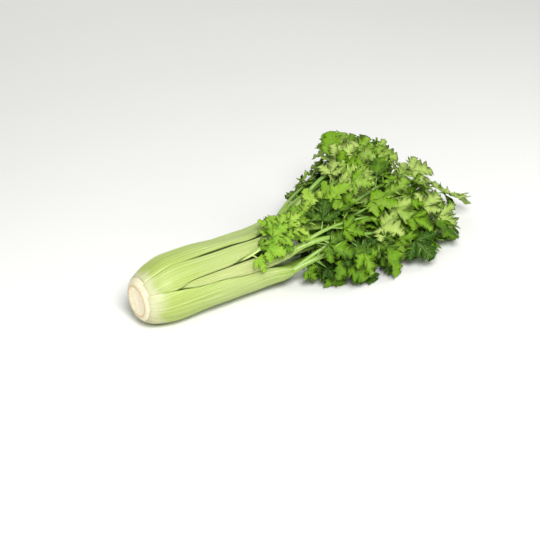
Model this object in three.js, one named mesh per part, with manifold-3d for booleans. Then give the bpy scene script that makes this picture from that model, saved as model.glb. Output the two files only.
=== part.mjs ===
// A head of celery lying on its side: ribbed stalks on a short crown, and a leaf on each stalk.
// Millimetres, +Z up. The head lies along X, crown first, and rests on z = 0.

import * as THREE from 'three';
import { mergeVertices } from 'three/addons/utils/BufferGeometryUtils.js';
import Module from 'manifold-3d';

const wasm = await Module();
wasm.setup();

// ---- Driving sizes ----

const CLEARANCE = 0.3; // gap between two pieces that touch
const BUNCH_RADIUS = 35; // round the outer stalks
const AXIS_HEIGHT = 34.2; // of the bunch above the table
const DISC_RADIUS = 17; // of the cut end of the crown
const DISC_DROP = 3; // the cut end sits below the middle of the bunch
const SWELL_LENGTH = 44; // over which the bunch swells from the disc to its full radius
const CROWN_DEPTH = 12;
const SHOULDER_LENGTH = 7; // of a stalk's joint, where it rounds off to its leaf's stem
const SHOULDER_END = 0.62; // size left at the very end
const TABLE_GAP = 0.5; // under a leaf that lies on the table
const EDGE_DROP = 2.2; // by which a stalk's outer face falls away at its two edges
const RIB_HEIGHT = 0.055; // of a stalk's ribs, as a part of its depth
const EDGE_DEPTH = 0.22; // of a stalk at its edges, as a part of its depth in the middle
const THIN_EDGE = 0.8; // least thickness of a stalk
const SINK_START = 0.45; // part of a sunk stalk's width over which its face sinks, from its low edge
const SEAM_PLACES = [22, 34, 46, 60, 84, 112]; // sections of a stalk whose edges wander
const PLAIN_PLACES = [22, 34, 60, 100]; // sections of one whose edges are straight
const TUCKED_RADIUS = 28; // to the tucked stalk's outer face, before it comes out of the bunch
const TUCKED_DEPTH = 3.8; // of the tucked stalk there
const INNER_RADIUS = 23.2; // round the inner stalks
const INNER_DEPTH = 8.3;
const INNER_RIBS = 4;
const INNER_START = CROWN_DEPTH + 0.4; // where the inner and heart stalks begin, above the crown
const INNER_KNUCKLE = [6, 5];
const INNER_NECK = 60; // length over which an inner stalk narrows to its joint
const HEART_RADIUS = 7.2; // from the bunch's axis to the middle of a heart stalk
const HEART_THICK = 5; // half thickness of a heart stalk
const HEART_THIN = 1.6; // the same at its joint
const HEART_NECK = 50;

// ---- Stalks round the bunch ----
// Angles are in degrees round the axis: 0 towards -Y, 90 up, 180 towards +Y.
// low and high give the two edges of a stalk as [x, angle] along it.
// joint is the [y, z] of its far end, where it narrows to half sizes [across, deep] from x = neck.
// sink is how far its outer face lies below the bunch's, past its low edge, as [x, millimetres].

const OUTER_STALKS = [
  {
    name: 'a', ribs: 7, start: 6.5, end: 196, neck: 128, deep: 10, joint: [14, 60], knuckle: [5.6, 4.6],
    sink: [[70, 0], [125, 4.5]],
    low: [[50, 71.5], [80, 73], [112, 72.8], [130, 69], [200, 68]], high: [[20, 131], [200, 127]],
  },
  {
    name: 'b', ribs: 7, start: 5, end: 192, neck: 135, deep: 9, joint: [-14, 60], knuckle: [8, 5.6],
    skew: 3,
    low: [[5, 37], [24, 27.4], [33, 24.2], [47, 31], [58, 32.4], [100, 32.8], [116, 40]],
    high: [[50, 70.5], [80, 69], [112, 68.8], [130, 66.6], [200, 66]],
  },
  {
    name: 'd', ribs: 9, start: 3, end: 172, neck: 138, deep: 11, joint: [-31, 22], knuckle: [9.5, 7],
    low: [[20, -61], [170, -56]],
    high: [[5, 36], [24, 26.4], [34, 22.6], [60, 14.6], [87, 12], [114, 4], [166, 2]],
  },
  {
    name: 'e', ribs: 7, start: 5, end: 196, neck: 140, deep: 10, joint: [34, 46], knuckle: [7.5, 6],
    low: [[20, 133], [190, 138]], high: [[20, 190], [190, 184]],
  },
  {
    name: 'f', ribs: 7, start: 4, end: 188, neck: 140, deep: 10, joint: [29, 15], knuckle: [8, 6],
    low: [[20, 192], [190, 196]], high: [[20, 244], [190, 240]],
  },
  {
    name: 'g', ribs: 7, start: 4, end: 182, neck: 140, deep: 10, joint: [-2, 8.5], knuckle: [9, 6],
    low: [[20, 246], [190, 248]], high: [[20, 297], [190, 295]],
  },
];

// The stalk that comes out between b and d, where their edges part.
const TUCKED_STALK = {
  name: 'c', ribs: 5, start: 33, end: 178, neck: 138, deep: 7, joint: [-30, 46], knuckle: [7, 5],
  low: [[33, 23], [40, 22], [60, 15.6], [87, 13], [114, 5], [166, 3.2]],
  high: [[33, 24], [47, 30], [58, 31.4]],
};

const INNER_STALKS = [
  { name: 'i', low: 52, high: 124, end: 198, joint: [4, 52] },
  { name: 'j', low: -38, high: 25, end: 190, joint: [-18, 36] },
  { name: 'k', low: -128, high: -50, end: 194, joint: [2, 22] },
  { name: 'l', low: 138, high: 220, end: 200, joint: [20, 34] },
];

const HEART_STALKS = [
  { name: 'm', angle: 37, end: 112, joint: [-19.6, 48.7] },
  { name: 'n', angle: 165, end: 150, joint: [6, 42] },
  { name: 'o', angle: 285, end: 160, joint: [-3, 33] },
];

// ---- Leaves ----
// Each leaf grows from the joint of the stalk with its name. bend and tip are the other three points
// of its stem's curve, face is the side that the leaf's upper face looks to, and size is the length
// of its end leaflet. Side stems are spread over the part of its stem past bare.

const LEAVES = [
  {
    name: 'a', bend: [[224, 16, 66], [236, 14, 106]], tip: [300, 24, 92],
    face: [-0.3, -0.7, 0.6], size: 38, bare: 0.7,
  },
  {
    name: 'b', bend: [[240, -18, 42], [290, -14, 92]], tip: [350, -4, 66],
    face: [-0.2, -0.4, 0.9], size: 46,
  },
  {
    name: 'c', bend: [[205, -42, 62], [250, -56, 52]], tip: [318, -60, 34],
    face: [-0.1, -0.5, 0.85], size: 44,
  },
  {
    name: 'd', bend: [[205, -42, 38], [250, -54, 44]], tip: [322, -60, 18],
    face: [0, -0.6, 0.8], size: 30, bare: -0.04,
  },
  {
    name: 'i', bend: [[228, 26, 70], [278, 50, 84]], tip: [348, 50, 76],
    face: [-0.2, -0.5, 0.85], size: 40, bare: 0.58,
  },
  {
    name: 'j', bend: [[230, -30, 38], [290, -40, 42]], tip: [358, -44, 36],
    face: [-0.1, -0.5, 0.85], size: 44,
  },
  {
    name: 'n', bend: [[200, 6, 42], [290, 4, 42]], tip: [406, -8, 36],
    face: [0, -0.3, 0.95], size: 38, bare: 0.14,
  },
  {
    name: 'l', bend: [[245, 28, 38], [310, 40, 52]], tip: [392, 38, 46],
    face: [-0.1, 0.2, 0.95], size: 44,
  },
  {
    name: 'e', bend: [[230, 52, 52], [290, 68, 64]], tip: [362, 70, 44],
    face: [0, 0.5, 0.85], size: 40, bare: 0.3,
  },
  {
    name: 'g', bend: [[230, -4, 12], [300, -14, 14]], tip: [352, -38, 12],
    face: [0, 0, 1], size: 44,
  },
  {
    name: 'k', bend: [[240, 6, 22], [310, 14, 22]], tip: [392, 22, 16],
    face: [0, 0.1, 1], size: 42,
  },
  {
    name: 'f', bend: [[225, 44, 16], [280, 62, 18]], tip: [346, 78, 10],
    face: [0, 0.3, 0.95], size: 44, bare: 0.15,
  },
];

const HEART_LEAVES = [
  {
    name: 'm', bend: [[119, -28.8, 52.3], [136, -38, 69]], tip: [190, -16, 70],
    face: [0, -0.5, 0.87], size: 27,
  },
  {
    name: 'o', bend: [[200, -3, 40], [226, -8, 64]], tip: [234, -12, 78],
    face: [-0.6, -0.6, 0.5], size: 30,
  },
];

// Where pairs of side stems leave a leaf's stem, as a part of its length, with their own length and
// their blade's, as parts of the end blade's. A triple blade is three leaflets that share a foot.
const SIDE_STEMS = [
  { at: 0.27, reach: 0.8, blade: 0.82, triple: true },
  { at: 0.5, reach: 0.5, blade: 0.68, triple: true },
  { at: 0.72, reach: 0.34, blade: 0.9, triple: false },
  { at: 0.38, reach: 0.34, blade: 0.85, triple: false },
];
const HEART_SIDE_STEMS = [
  { at: 0.5, reach: 0.32, blade: 0.9, triple: true },
  { at: 0.34, reach: 0.3, blade: 0.8, triple: true },
  { at: 0.72, reach: 0.4, blade: 0.85, triple: true },
  { at: 0.88, reach: 0.3, blade: 0.85, triple: false },
];

// Right half of a blade's edge from foot to tip, as [across, along, hub] in blade lengths: teeth, and
// the notches between them. Each stretch of edge is joined to a hub on the rib or in a side leaflet.
// spread is the half width at a few places along, with the teeth filled in.
const TRIPLE = {
  hubs: [[0, 0], [0, 0.46], [0, 0.77], [0.34, 0.2], [-0.34, 0.2]],
  edge: [
    [0.03, 0, 0], [0.17, -0.03, 3], [0.47, -0.09, 3], [0.46, 0.04, 3], [0.68, 0.07, 3], [0.58, 0.17, 3],
    [0.76, 0.38, 3], [0.54, 0.36, 3], [0.46, 0.5, 3], [0.34, 0.34, 3], [0.11, 0.2, 1], [0.21, 0.42, 1],
    [0.42, 0.46, 1], [0.31, 0.55, 1], [0.4, 0.74, 1], [0.17, 0.68, 2], [0.22, 0.89, 2],
  ],
  inner: [[0, 3, 1], [0, 1, 4]],
  spread: [[-0.1, 0.4], [0.05, 0.7], [0.4, 0.72], [0.6, 0.45], [0.8, 0.34], [1.03, 0.06]],
};
const SINGLE = {
  hubs: [[0, 0], [0, 0.4], [0, 0.74]],
  edge: [
    [0.03, 0, 0], [0.2, 0.17, 0], [0.47, 0.36, 1], [0.27, 0.46, 1], [0.38, 0.7, 1], [0.17, 0.68, 2],
    [0.19, 0.88, 2],
  ],
  inner: [],
  spread: [[0, 0.06], [0.36, 0.47], [0.7, 0.38], [1.03, 0.06]],
};

const STEM_THICK = 4.4; // half thickness of a leaf's stem at its joint
const HEART_STEM_THICK = 1.4;
const STEM_TIP = 1.2; // half thickness of either at its tip
const SIDE_STEM_THICK = 1.4;
const SIDE_STEM_THIN = 0.9;
const ROOT_SUNK = 1.5; // of a side stem in the stem that bears it
const BLADE_RIB = 0.7; // half thickness of a leaflet along its rib
const TABLE_EASE = 6; // height over which a leaf eases down on to the table
const CELL = 3.2; // side of the cells of air that a leaflet keeps to itself
const TRIES = 24; // places tried for a side stem before it is left out
const STEP = 2; // between the points that stand for a leaflet
const STEM_STEP = 1.5; // between those that stand for a stem
const INNER_STEPS = 4; // across the inner face of a stalk
const NARROWING = 0.94; // part of a half circle that the outer face takes at a joint

// ---- Small helpers ----

const radians = THREE.MathUtils.degToRad;
const lerp = THREE.MathUtils.lerp;
const smoothstep = (x, from, to) => THREE.MathUtils.smoothstep(x, from, to);
const vec = (x, y, z) => new THREE.Vector3(x, y, z);

// A value that eases from one [x, value] of a list to the next.
function along(x, list) {
  let value = list[0][1];
  for (let i = 1; i < list.length; i++) {
    const [from, to] = [list[i - 1][0], list[i][0]];
    value = lerp(value, list[i][1], smoothstep(x, from, to));
  }
  return value;
}

// Radius of the whole bunch at x.
function bunchRadius(x) {
  const part = Math.min(1, x / SWELL_LENGTH);
  const swell = Math.pow(Math.sin(part * Math.PI / 2), 0.62);
  return lerp(DISC_RADIUS + 0.6, BUNCH_RADIUS, swell);
}

// Height of the bunch's axis at x.
function axisHeight(x) {
  return AXIS_HEIGHT - DISC_DROP * (1 - smoothstep(x, 0, SWELL_LENGTH));
}

// A point of the bunch from its place along, angle round and radius.
function bunchPoint(x, angle, radius) {
  const a = radians(angle);
  return vec(x, -radius * Math.cos(a), axisHeight(x) + radius * Math.sin(a));
}

// Which way round a ring of points goes, seen from +X.
function turnsRight(ring) {
  return THREE.ShapeUtils.isClockWise(ring.map((p) => new THREE.Vector2(p.y, p.z)));
}

// Triangles that close a ring of points, facing +X.
function capTriangles(ring) {
  const flat = ring.map((p) => new THREE.Vector2(p.y, p.z));
  return THREE.ShapeUtils.triangulateShape(flat, []).map(([i, j, k]) => {
    const faces = THREE.ShapeUtils.area([flat[i], flat[j], flat[k]]) > 0;
    return faces ? [i, j, k] : [i, k, j];
  });
}

// A closed body through the sections of a stalk, in order along +X.
function loft(sections) {
  const rings = turnsRight(sections[0]) ? sections.map((ring) => [...ring].reverse()) : sections;
  return skin(rings, capTriangles(rings[0]), capTriangles(rings.at(-1)));
}

// The skin round rings of as many points each, closed by the triangles given for its two ends.
function skin(rings, firstCap, lastCap) {
  const count = rings[0].length;
  const index = [];
  for (let ring = 0; ring < rings.length - 1; ring++) {
    for (let i = 0; i < count; i++) {
      const a = ring * count + i;
      const b = ring * count + (i + 1) % count;
      index.push(a, b, a + count);
      index.push(b, b + count, a + count);
    }
  }
  const last = (rings.length - 1) * count;
  for (const [i, j, k] of firstCap) index.push(i, k, j);
  for (const [i, j, k] of lastCap) index.push(last + i, last + j, last + k);
  return indexed(rings.flat(), index);
}

function indexed(points, index) {
  const geometry = new THREE.BufferGeometry();
  const numbers = points.flatMap((p) => [p.x, p.y, p.z]);
  geometry.setAttribute('position', new THREE.Float32BufferAttribute(numbers, 3));
  geometry.setIndex(index);
  return geometry;
}

function material(name, color, roughness) {
  return new THREE.MeshStandardMaterial({ name, color, roughness, metalness: 0 });
}

const LOOKS = {
  crown: material('crown', '#f3ead0', 0.55),
  stalk: material('stalk', '#c6d98a', 0.4),
  heart_stalk: material('heart_stalk', '#dfe8a6', 0.4),
  leaf: material('leaf', '#6f9e2c', 0.5),
  heart_leaf: material('heart_leaf', '#a2c83a', 0.5),
};

function piece(name, geometry, look) {
  const mesh = new THREE.Mesh(geometry, LOOKS[look]);
  mesh.name = name;
  return mesh;
}

// ---- Crown ----

function crown() {
  const profile = [
    [0, 0],
    [DISC_RADIUS - 0.8, 0],
    [DISC_RADIUS, 0.8],
    [DISC_RADIUS - 0.2, CROWN_DEPTH * 0.6],
    [DISC_RADIUS - 4, CROWN_DEPTH],
    [0, CROWN_DEPTH],
  ].map(([radius, depth]) => new THREE.Vector2(radius, depth));
  const geometry = new THREE.LatheGeometry(profile, 24);
  geometry.rotateZ(-Math.PI / 2);
  geometry.translate(0, 0, axisHeight(0));
  geometry.deleteAttribute('normal');
  geometry.deleteAttribute('uv');
  return mergeVertices(geometry, 1e-4);
}

// Radius that the crown and its clearance take at x.
function crownRoom(x) {
  if (x > CROWN_DEPTH + CLEARANCE) return 0;
  return DISC_RADIUS + CLEARANCE;
}

// ---- Stalks ----

// One section of a crescent stalk, as points round it, outer face first.
function crescent(x, low, high, outerRadius, deep, ribs, skew, sunk = 0) {
  const points = [];
  const outerSteps = ribs * 2;
  const drop = (u) => sunk * smoothstep(u, 0, SINK_START);
  const thickness = (u) => {
    const across = Math.abs(2 * Math.pow(u, skew) - 1);
    return (deep - drop(u)) * lerp(1, EDGE_DEPTH, across * across);
  };
  const face = (u) => outerRadius - drop(u) - EDGE_DROP * Math.pow(Math.abs(2 * u - 1), 3);
  for (let i = 0; i <= outerSteps; i++) {
    const u = i / outerSteps;
    const rib = i % 2 === 1 ? RIB_HEIGHT * deep : 0;
    points.push([lerp(low, high, u), face(u) + rib]);
  }
  for (let i = INNER_STEPS; i >= 0; i--) {
    const u = i / INNER_STEPS;
    const inner = Math.max(face(u) - thickness(u), crownRoom(x));
    points.push([lerp(low, high, u), Math.min(inner, face(u) - THIN_EDGE)]);
  }
  return points.map(([angle, radius]) => bunchPoint(x, angle, radius));
}

// The same number of points on an ellipse, which the stalk narrows to at its joint. It has round
// shoulders, down to the leaf's stem, in the last few millimetres before its end.
function jointSection(x, joint, knuckle, section, angle, toEnd) {
  const shoulder = lerp(SHOULDER_END, 1, Math.sqrt(smoothstep(toEnd, 0, SHOULDER_LENGTH)));
  const [wide, deep] = knuckle.map((half) => half * shoulder);
  const turn = radians(angle);
  const outer = section.length - INNER_STEPS - 1;
  return section.map((_, i) => {
    const part = i < outer ? i / (outer - 1) : 1 - (i - outer) / INNER_STEPS;
    const side = i < outer ? 1 : -1;
    const round = Math.PI * (0.5 + (part - 0.5) * NARROWING);
    const across = -Math.cos(round) * wide;
    const out = side * Math.sin(round) * deep;
    const y = joint[0] - Math.cos(turn) * out + Math.sin(turn) * across;
    const z = joint[1] + Math.sin(turn) * out + Math.cos(turn) * across;
    return vec(x, y, z);
  });
}

// Presses a section flat where it would go through the table.
function restOnTable(points) {
  for (const p of points) p.z = Math.max(p.z, 0);
  return points;
}

function outerStalk({ low, high, ribs, start, end, neck, joint, knuckle, deep, sink = [[0, 0]], skew = 1 }) {
  const foot = [start, start + 3, start + 8];
  const top = [neck, (neck + end) / 2, end - 8, end - 2.5, end];
  const middle = (low.at(-1)[1] + high.at(-1)[1]) / 2;
  const places = low.length + high.length > 4 ? SEAM_PLACES : PLAIN_PLACES;
  const rings = [...foot, ...places, ...top].map((x) => {
    const radius = bunchRadius(x);
    const depth = deep * radius / BUNCH_RADIUS;
    const section = crescent(
      x, along(x, low), along(x, high), radius, depth, ribs, skew, along(x, sink),
    );
    const narrow = jointSection(x, joint, knuckle, section, middle, end - x);
    const atJoint = smoothstep(x, neck, end);
    return restOnTable(section.map((p, i) => p.lerp(narrow[i], atJoint)));
  });
  return loft(rings);
}

function tuckedStalk({ low, high, ribs, start, end, neck, joint, knuckle, deep }) {
  const middle = (low.at(-1)[1] + high.at(-1)[1]) / 2;
  const stations = [start, 40, 47, 58, 87, 114, neck, end - 20, end - 7, end - 2, end];
  const rings = stations.map((x) => {
    const rise = smoothstep(x, 34, 60);
    const swell = bunchRadius(x) / BUNCH_RADIUS;
    const radius = lerp(TUCKED_RADIUS, BUNCH_RADIUS - 0.4, rise) * swell;
    const depth = lerp(TUCKED_DEPTH, deep, rise) * swell;
    const section = crescent(x, along(x, low), along(x, high), radius, depth, ribs, 1);
    const narrow = jointSection(x, joint, knuckle, section, middle, end - x);
    const atJoint = smoothstep(x, neck, end);
    return section.map((p, i) => p.lerp(narrow[i], atJoint));
  });
  return loft(rings);
}

function innerStalk({ low, high, end, joint }) {
  const neck = end - INNER_NECK;
  const rings = [INNER_START, 24, 45, neck, end - 25, end - 6, end].map((x) => {
    const swell = bunchRadius(x) / BUNCH_RADIUS;
    const section = crescent(x, low, high, INNER_RADIUS * swell, INNER_DEPTH * swell, INNER_RIBS, 1);
    const narrow = jointSection(x, joint, INNER_KNUCKLE, section, (low + high) / 2, end - x);
    const atJoint = smoothstep(x, neck, end);
    return section.map((p, i) => p.lerp(narrow[i], atJoint));
  });
  return loft(rings);
}

function heartStalk({ angle, end, joint }) {
  const rings = [INNER_START, 40, end - 45, end - 28, end - 12, end].map((x) => {
    const centre = bunchPoint(x, angle, HEART_RADIUS * bunchRadius(x) / BUNCH_RADIUS);
    const atJoint = smoothstep(x, end - HEART_NECK, end);
    const wide = lerp(HEART_THICK, HEART_THIN, atJoint);
    const y = lerp(centre.y, joint[0], atJoint);
    const z = lerp(centre.z, joint[1], atJoint);
    const ring = [];
    for (let i = 0; i < 8; i++) {
      const a = radians(i * 45);
      ring.push(vec(x, y - wide * Math.cos(a), z + wide * Math.sin(a)));
    }
    return ring;
  });
  return loft(rings);
}

// ---- Leaf stems and leaflets ----

// Even draws between low and high, always the same for the same seed.
function draws(seed) {
  let state = seed * 7919 + 101;
  return (low, high) => {
    state = (state * 16807) % 2147483647;
    return low + (high - low) * (state / 2147483647);
  };
}

function curvePoint([p, q, r, s], t) {
  const k = 1 - t;
  return vec(0, 0, 0)
    .addScaledVector(p, k * k * k)
    .addScaledVector(q, 3 * k * k * t)
    .addScaledVector(r, 3 * k * t * t)
    .addScaledVector(s, t * t * t);
}

function curveDirection([p, q, r, s], t) {
  const k = 1 - t;
  return vec(0, 0, 0)
    .addScaledVector(q.clone().sub(p), k * k)
    .addScaledVector(r.clone().sub(q), 2 * k * t)
    .addScaledVector(s.clone().sub(r), t * t)
    .normalize();
}

// Height of a leaf's point once the table holds it up.
function restingHeight(z) {
  const floor = TABLE_GAP + BLADE_RIB;
  const over = z - floor - TABLE_EASE;
  return over > 0 ? z : floor + TABLE_EASE * Math.exp(over / TABLE_EASE);
}

// Rings of points round a tapering stem, each starting towards the face and turning rightwards.
function stemRings(curve, thick, thin, steps, sides, face) {
  const rings = [];
  for (let i = 0; i <= steps; i++) {
    const t = i / steps;
    const centre = curvePoint(curve, t);
    const ahead = curveDirection(curve, t);
    const side = ahead.clone().cross(face).normalize();
    const up = side.clone().cross(ahead);
    const radius = lerp(thick, thin, Math.pow(t, 0.6));
    centre.z = Math.max(centre.z, radius + TABLE_GAP);
    const ring = [];
    for (let j = 0; j < sides; j++) {
      const a = j / sides * 2 * Math.PI;
      const point = centre.clone().addScaledVector(up, radius * Math.cos(a));
      ring.push(point.addScaledVector(side, radius * Math.sin(a)));
    }
    rings.push(ring);
  }
  return rings;
}

// A leaf's main stem, square to X where it meets the end of its stalk.
function mainStem(leaf) {
  const rings = stemRings(leaf.curve, leaf.thick, STEM_TIP, 6, 6, leaf.facing);
  rings[0].forEach((p) => { p.x = leaf.curve[0].x; });
  const fan = rings[0].slice(2).map((_, i) => [0, i + 1, i + 2]);
  return skin(rings, fan, fan);
}

// Rise of a leaflet's middle surface off its plane, in leaflet lengths.
function rise({ bow, keel, wave, phase }, across, along) {
  const out = Math.abs(across);
  const ripple = Math.sin(8 * along + phase + (across > 0 ? 0 : 1.4));
  return keel * out - bow * along * along + wave * ripple * out;
}

// A point of a blade, lifted off its middle surface.
function bladePoint(leaflet, across, along, lift) {
  const { foot, rib, side, face, size } = leaflet;
  const point = foot.clone()
    .addScaledVector(side, size * across)
    .addScaledVector(rib, size * along)
    .addScaledVector(face, size * rise(leaflet, across, along));
  const rested = restingHeight(point.z);
  const held = rested > point.z ? Math.min(1, (rested - point.z) / TABLE_EASE) : 0;
  point.z = rested;
  const upright = vec(0, 0, face.z < 0 ? -1 : 1);
  const normal = face.clone().lerp(upright, held).normalize();
  return point.addScaledVector(normal, lift);
}

// The rim and the faces of a blade's outline: corners of faces are rim points or hubs.
function bladeFaces({ edge, inner }) {
  const mirrored = (hub) => (hub === 3 ? 4 : hub);
  const left = edge.map(([across, along], i) => [-across, along, i ? mirrored(edge[i - 1][2]) : 0]);
  const rim = [...edge, [0, 1.03, 2], ...left.reverse()];
  const faces = inner.map((corners) => corners.map((hub) => ({ hub })));
  for (let i = 0; i < rim.length - 1; i++) {
    const hub = rim[i][2];
    const nextHub = rim[i + 1][2];
    faces.push([{ rim: i }, { rim: i + 1 }, { hub }]);
    if (nextHub !== hub) faces.push([{ hub }, { rim: i + 1 }, { hub: nextHub }]);
  }
  return { rim, faces };
}

// A side stem with its blade. The blade is full along its rib and sharp at its toothed edge, split
// alike on both faces, and its foot is the last ring of the stem.
function stemWithBlade(curve, blade, facing) {
  const stemFrom = curve[0].clone().addScaledVector(curveDirection(curve, 0), -ROOT_SUNK);
  const stem = [stemFrom, ...curve.slice(1)];
  const rings = stemRings(stem, SIDE_STEM_THICK, SIDE_STEM_THIN, 2, 4, facing).slice(0, -1);
  const { rim, faces } = bladeFaces(blade.outline);
  const { hubs } = blade.outline;
  const points = rings.flat();
  const rimStart = points.length;
  for (const [across, along] of rim) points.push(bladePoint(blade, across, along, 0));
  const topStart = points.length;
  for (const [across, along] of hubs) points.push(bladePoint(blade, across, along, BLADE_RIB));
  const bottomStart = points.length;
  for (const [across, along] of hubs) points.push(bladePoint(blade, across, along, -BLADE_RIB));

  const index = [0, 2, 1, 0, 3, 2];
  const foot = [topStart, rimStart, bottomStart, rimStart + rim.length - 1];
  const loops = [...rings.map((_, ring) => [0, 1, 2, 3].map((i) => ring * 4 + i)), foot];
  for (let loop = 0; loop < loops.length - 1; loop++) {
    for (let i = 0; i < 4; i++) {
      const [a, b] = [loops[loop][i], loops[loop][(i + 1) % 4]];
      const [c, d] = [loops[loop + 1][i], loops[loop + 1][(i + 1) % 4]];
      index.push(a, b, c);
      index.push(b, d, c);
    }
  }
  const numbered = ({ rim: place, hub }, hubStart) => {
    return hub === undefined ? rimStart + place : hubStart + hub;
  };
  for (const [a, b, c] of faces) {
    index.push(...[a, b, c].map((corner) => numbered(corner, topStart)));
    index.push(...[a, c, b].map((corner) => numbered(corner, bottomStart)));
  }
  return indexed(points, index);
}

// ---- Room in the air ----

const taken = new Map();

const cellOf = (p) => `${Math.floor(p.x / CELL)},${Math.floor(p.y / CELL)},${Math.floor(p.z / CELL)}`;

function claim(points, owner) {
  for (const p of points) taken.set(cellOf(p), owner);
}

function isFree(points, ...owners) {
  return points.every((p) => [undefined, ...owners].includes(taken.get(cellOf(p))));
}

// Whether a point is inside the bunch of stalks.
function insideBunch(p) {
  const reach = bunchRadius(Math.max(p.x, 1)) + 2.2 - Math.max(0, p.x - 190) * 0.8;
  return Math.hypot(p.y, p.z - axisHeight(p.x)) < reach;
}

// Points close together along a stem's middle and, at its radius, on four sides of it.
function stemSamples(curve, from, radius, face) {
  const samples = [];
  const count = Math.ceil(curve[0].distanceTo(curve[3]) / STEM_STEP);
  for (let i = 0; i <= count; i++) {
    const t = lerp(from, 1, i / count);
    const middle = curvePoint(curve, t);
    const side = curveDirection(curve, t).cross(face).normalize();
    samples.push(middle);
    for (const way of [side, face]) {
      samples.push(middle.clone().addScaledVector(way, radius));
      samples.push(middle.clone().addScaledVector(way, -radius));
    }
  }
  return samples;
}

// Points close together all over a blade, teeth filled in.
function bladeSamples(blade) {
  const { spread } = blade.outline;
  const samples = [];
  const first = spread[0][0] + 0.08;
  const rows = Math.ceil(blade.size / STEP);
  for (let i = 0; i <= rows; i++) {
    const along = lerp(first, spread.at(-1)[0], i / rows);
    const after = spread.findIndex(([place]) => place >= along - 1e-9);
    const [[from, narrow], [to, wide]] = [spread[after - 1], spread[after]];
    const half = lerp(narrow, wide, (along - from) / (to - from));
    const columns = Math.ceil(half * blade.size / STEP);
    for (let j = -columns; j <= columns; j++) samples.push(bladePoint(blade, half * j / columns, along, 0));
  }
  return samples;
}

// ---- Whole leaves ----

function makeBlade(foot, ahead, facing, size, outline, draw) {
  const rib = ahead.clone().add(vec(0, 0, draw(-0.5, 0.05))).normalize();
  const turned = facing.clone().applyAxisAngle(rib, draw(-0.6, 0.6));
  const side = rib.clone().cross(turned).normalize();
  return {
    foot,
    rib,
    side,
    face: side.clone().cross(rib),
    size: size * draw(0.85, 1.12),
    outline,
    bow: draw(0.05, 0.3),
    keel: draw(-0.12, 0.22),
    wave: draw(0.05, 0.16),
    phase: draw(0, 6),
  };
}

// A curve that leaves a point one way and ends by drooping.
function sideCurve(from, ahead, length, droop) {
  const at = (part, drop) => {
    return from.clone().addScaledVector(ahead, length * part).add(vec(0, 0, -drop * length));
  };
  return [from, at(0.35, 0), at(0.7, droop * 0.3), at(1, droop)];
}

// Tries places for one side stem and its blade until they cross nothing.
function placeSideStem(leaf, seed, spec, hand) {
  const at = lerp(leaf.bare, 1, spec.at);
  const from = curvePoint(leaf.curve, at);
  const ahead = curveDirection(leaf.curve, at);
  const across = ahead.clone().cross(leaf.facing).normalize().multiplyScalar(hand);
  const owner = `${leaf.name}${seed}`;
  for (let attempt = 0; attempt < TRIES; attempt++) {
    const draw = draws(seed * 31 + attempt);
    const scale = leaf.size * lerp(1, 0.62, attempt / TRIES);
    const angle = draw(0.65, 1.2);
    const way = ahead.clone().multiplyScalar(Math.cos(angle)).addScaledVector(across, Math.sin(angle))
      .addScaledVector(leaf.facing, draw(-0.5, 0.5)).normalize();
    const curve = sideCurve(from, way, scale * spec.reach * draw(0.8, 1.25), draw(0, 0.35));
    const outline = spec.triple ? TRIPLE : SINGLE;
    const end = curveDirection(curve, 1);
    const blade = makeBlade(curve[3], end, leaf.facing, scale * spec.blade, outline, draw);
    const stemPoints = stemSamples(curve, 0.2, 1, leaf.facing);
    const bladePoints = bladeSamples(blade);
    const free = isFree(stemPoints, leaf.name) && isFree(bladePoints, owner);
    if (!free || bladePoints.some(insideBunch)) continue;
    claim(stemPoints, leaf.name);
    claim(bladePoints, owner);
    leaf.sides.push({ curve, blade });
    return;
  }
}

function planLeaf(leaf, order, stems, thick) {
  const curve = [leaf.start, ...leaf.bend, leaf.tip].map((p) => vec(...p));
  const facing = vec(...leaf.face).normalize();
  return { bare: 0, ...leaf, curve, facing, order, stems, thick, sides: [] };
}

// The blade at the end of a leaf's main stem, turned until it crosses nothing.
function placeEndBlade(leaf) {
  const ahead = curveDirection(leaf.curve, 1);
  const from = curvePoint(leaf.curve, 0.97);
  const curve = sideCurve(from, ahead, from.distanceTo(leaf.curve[3]), 0);
  const owner = `${leaf.name}0`;
  for (let attempt = 0; attempt < TRIES; attempt++) {
    const draw = draws(leaf.order * 97 + attempt);
    const blade = makeBlade(leaf.curve[3], ahead, leaf.facing, leaf.size, TRIPLE, draw);
    const samples = bladeSamples(blade);
    if (!isFree(samples, owner, leaf.name) && attempt < TRIES - 1) continue;
    claim(samples, owner);
    leaf.sides.push({ curve, blade });
    return;
  }
}

function placeSideStems(leaf, level) {
  const spec = leaf.stems[level];
  if (!spec) return;
  for (const hand of [-1, 1]) placeSideStem(leaf, leaf.order * 100 + level * 10 + hand + 2, spec, hand);
}

function toSolid(geometry) {
  const merged = mergeVertices(geometry, 1e-4);
  const mesh = new wasm.Mesh({
    numProp: 3,
    vertProperties: merged.attributes.position.array,
    triVerts: new Uint32Array(merged.index.array),
  });
  return new wasm.Manifold(mesh);
}

function toGeometry(manifold) {
  const { vertProperties, triVerts } = manifold.getMesh();
  const geometry = new THREE.BufferGeometry();
  geometry.setAttribute('position', new THREE.Float32BufferAttribute(vertProperties, 3));
  geometry.setIndex(new THREE.Uint32BufferAttribute(triVerts, 1));
  return geometry;
}

// Everything on one stalk past its joint, fused in one body.
function leafGeometry(leaf) {
  let body = toSolid(mainStem(leaf));
  for (const { curve, blade } of leaf.sides) {
    body = body.add(toSolid(stemWithBlade(curve, blade, leaf.facing)));
  }
  return toGeometry(body);
}

// ---- The head ----

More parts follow.
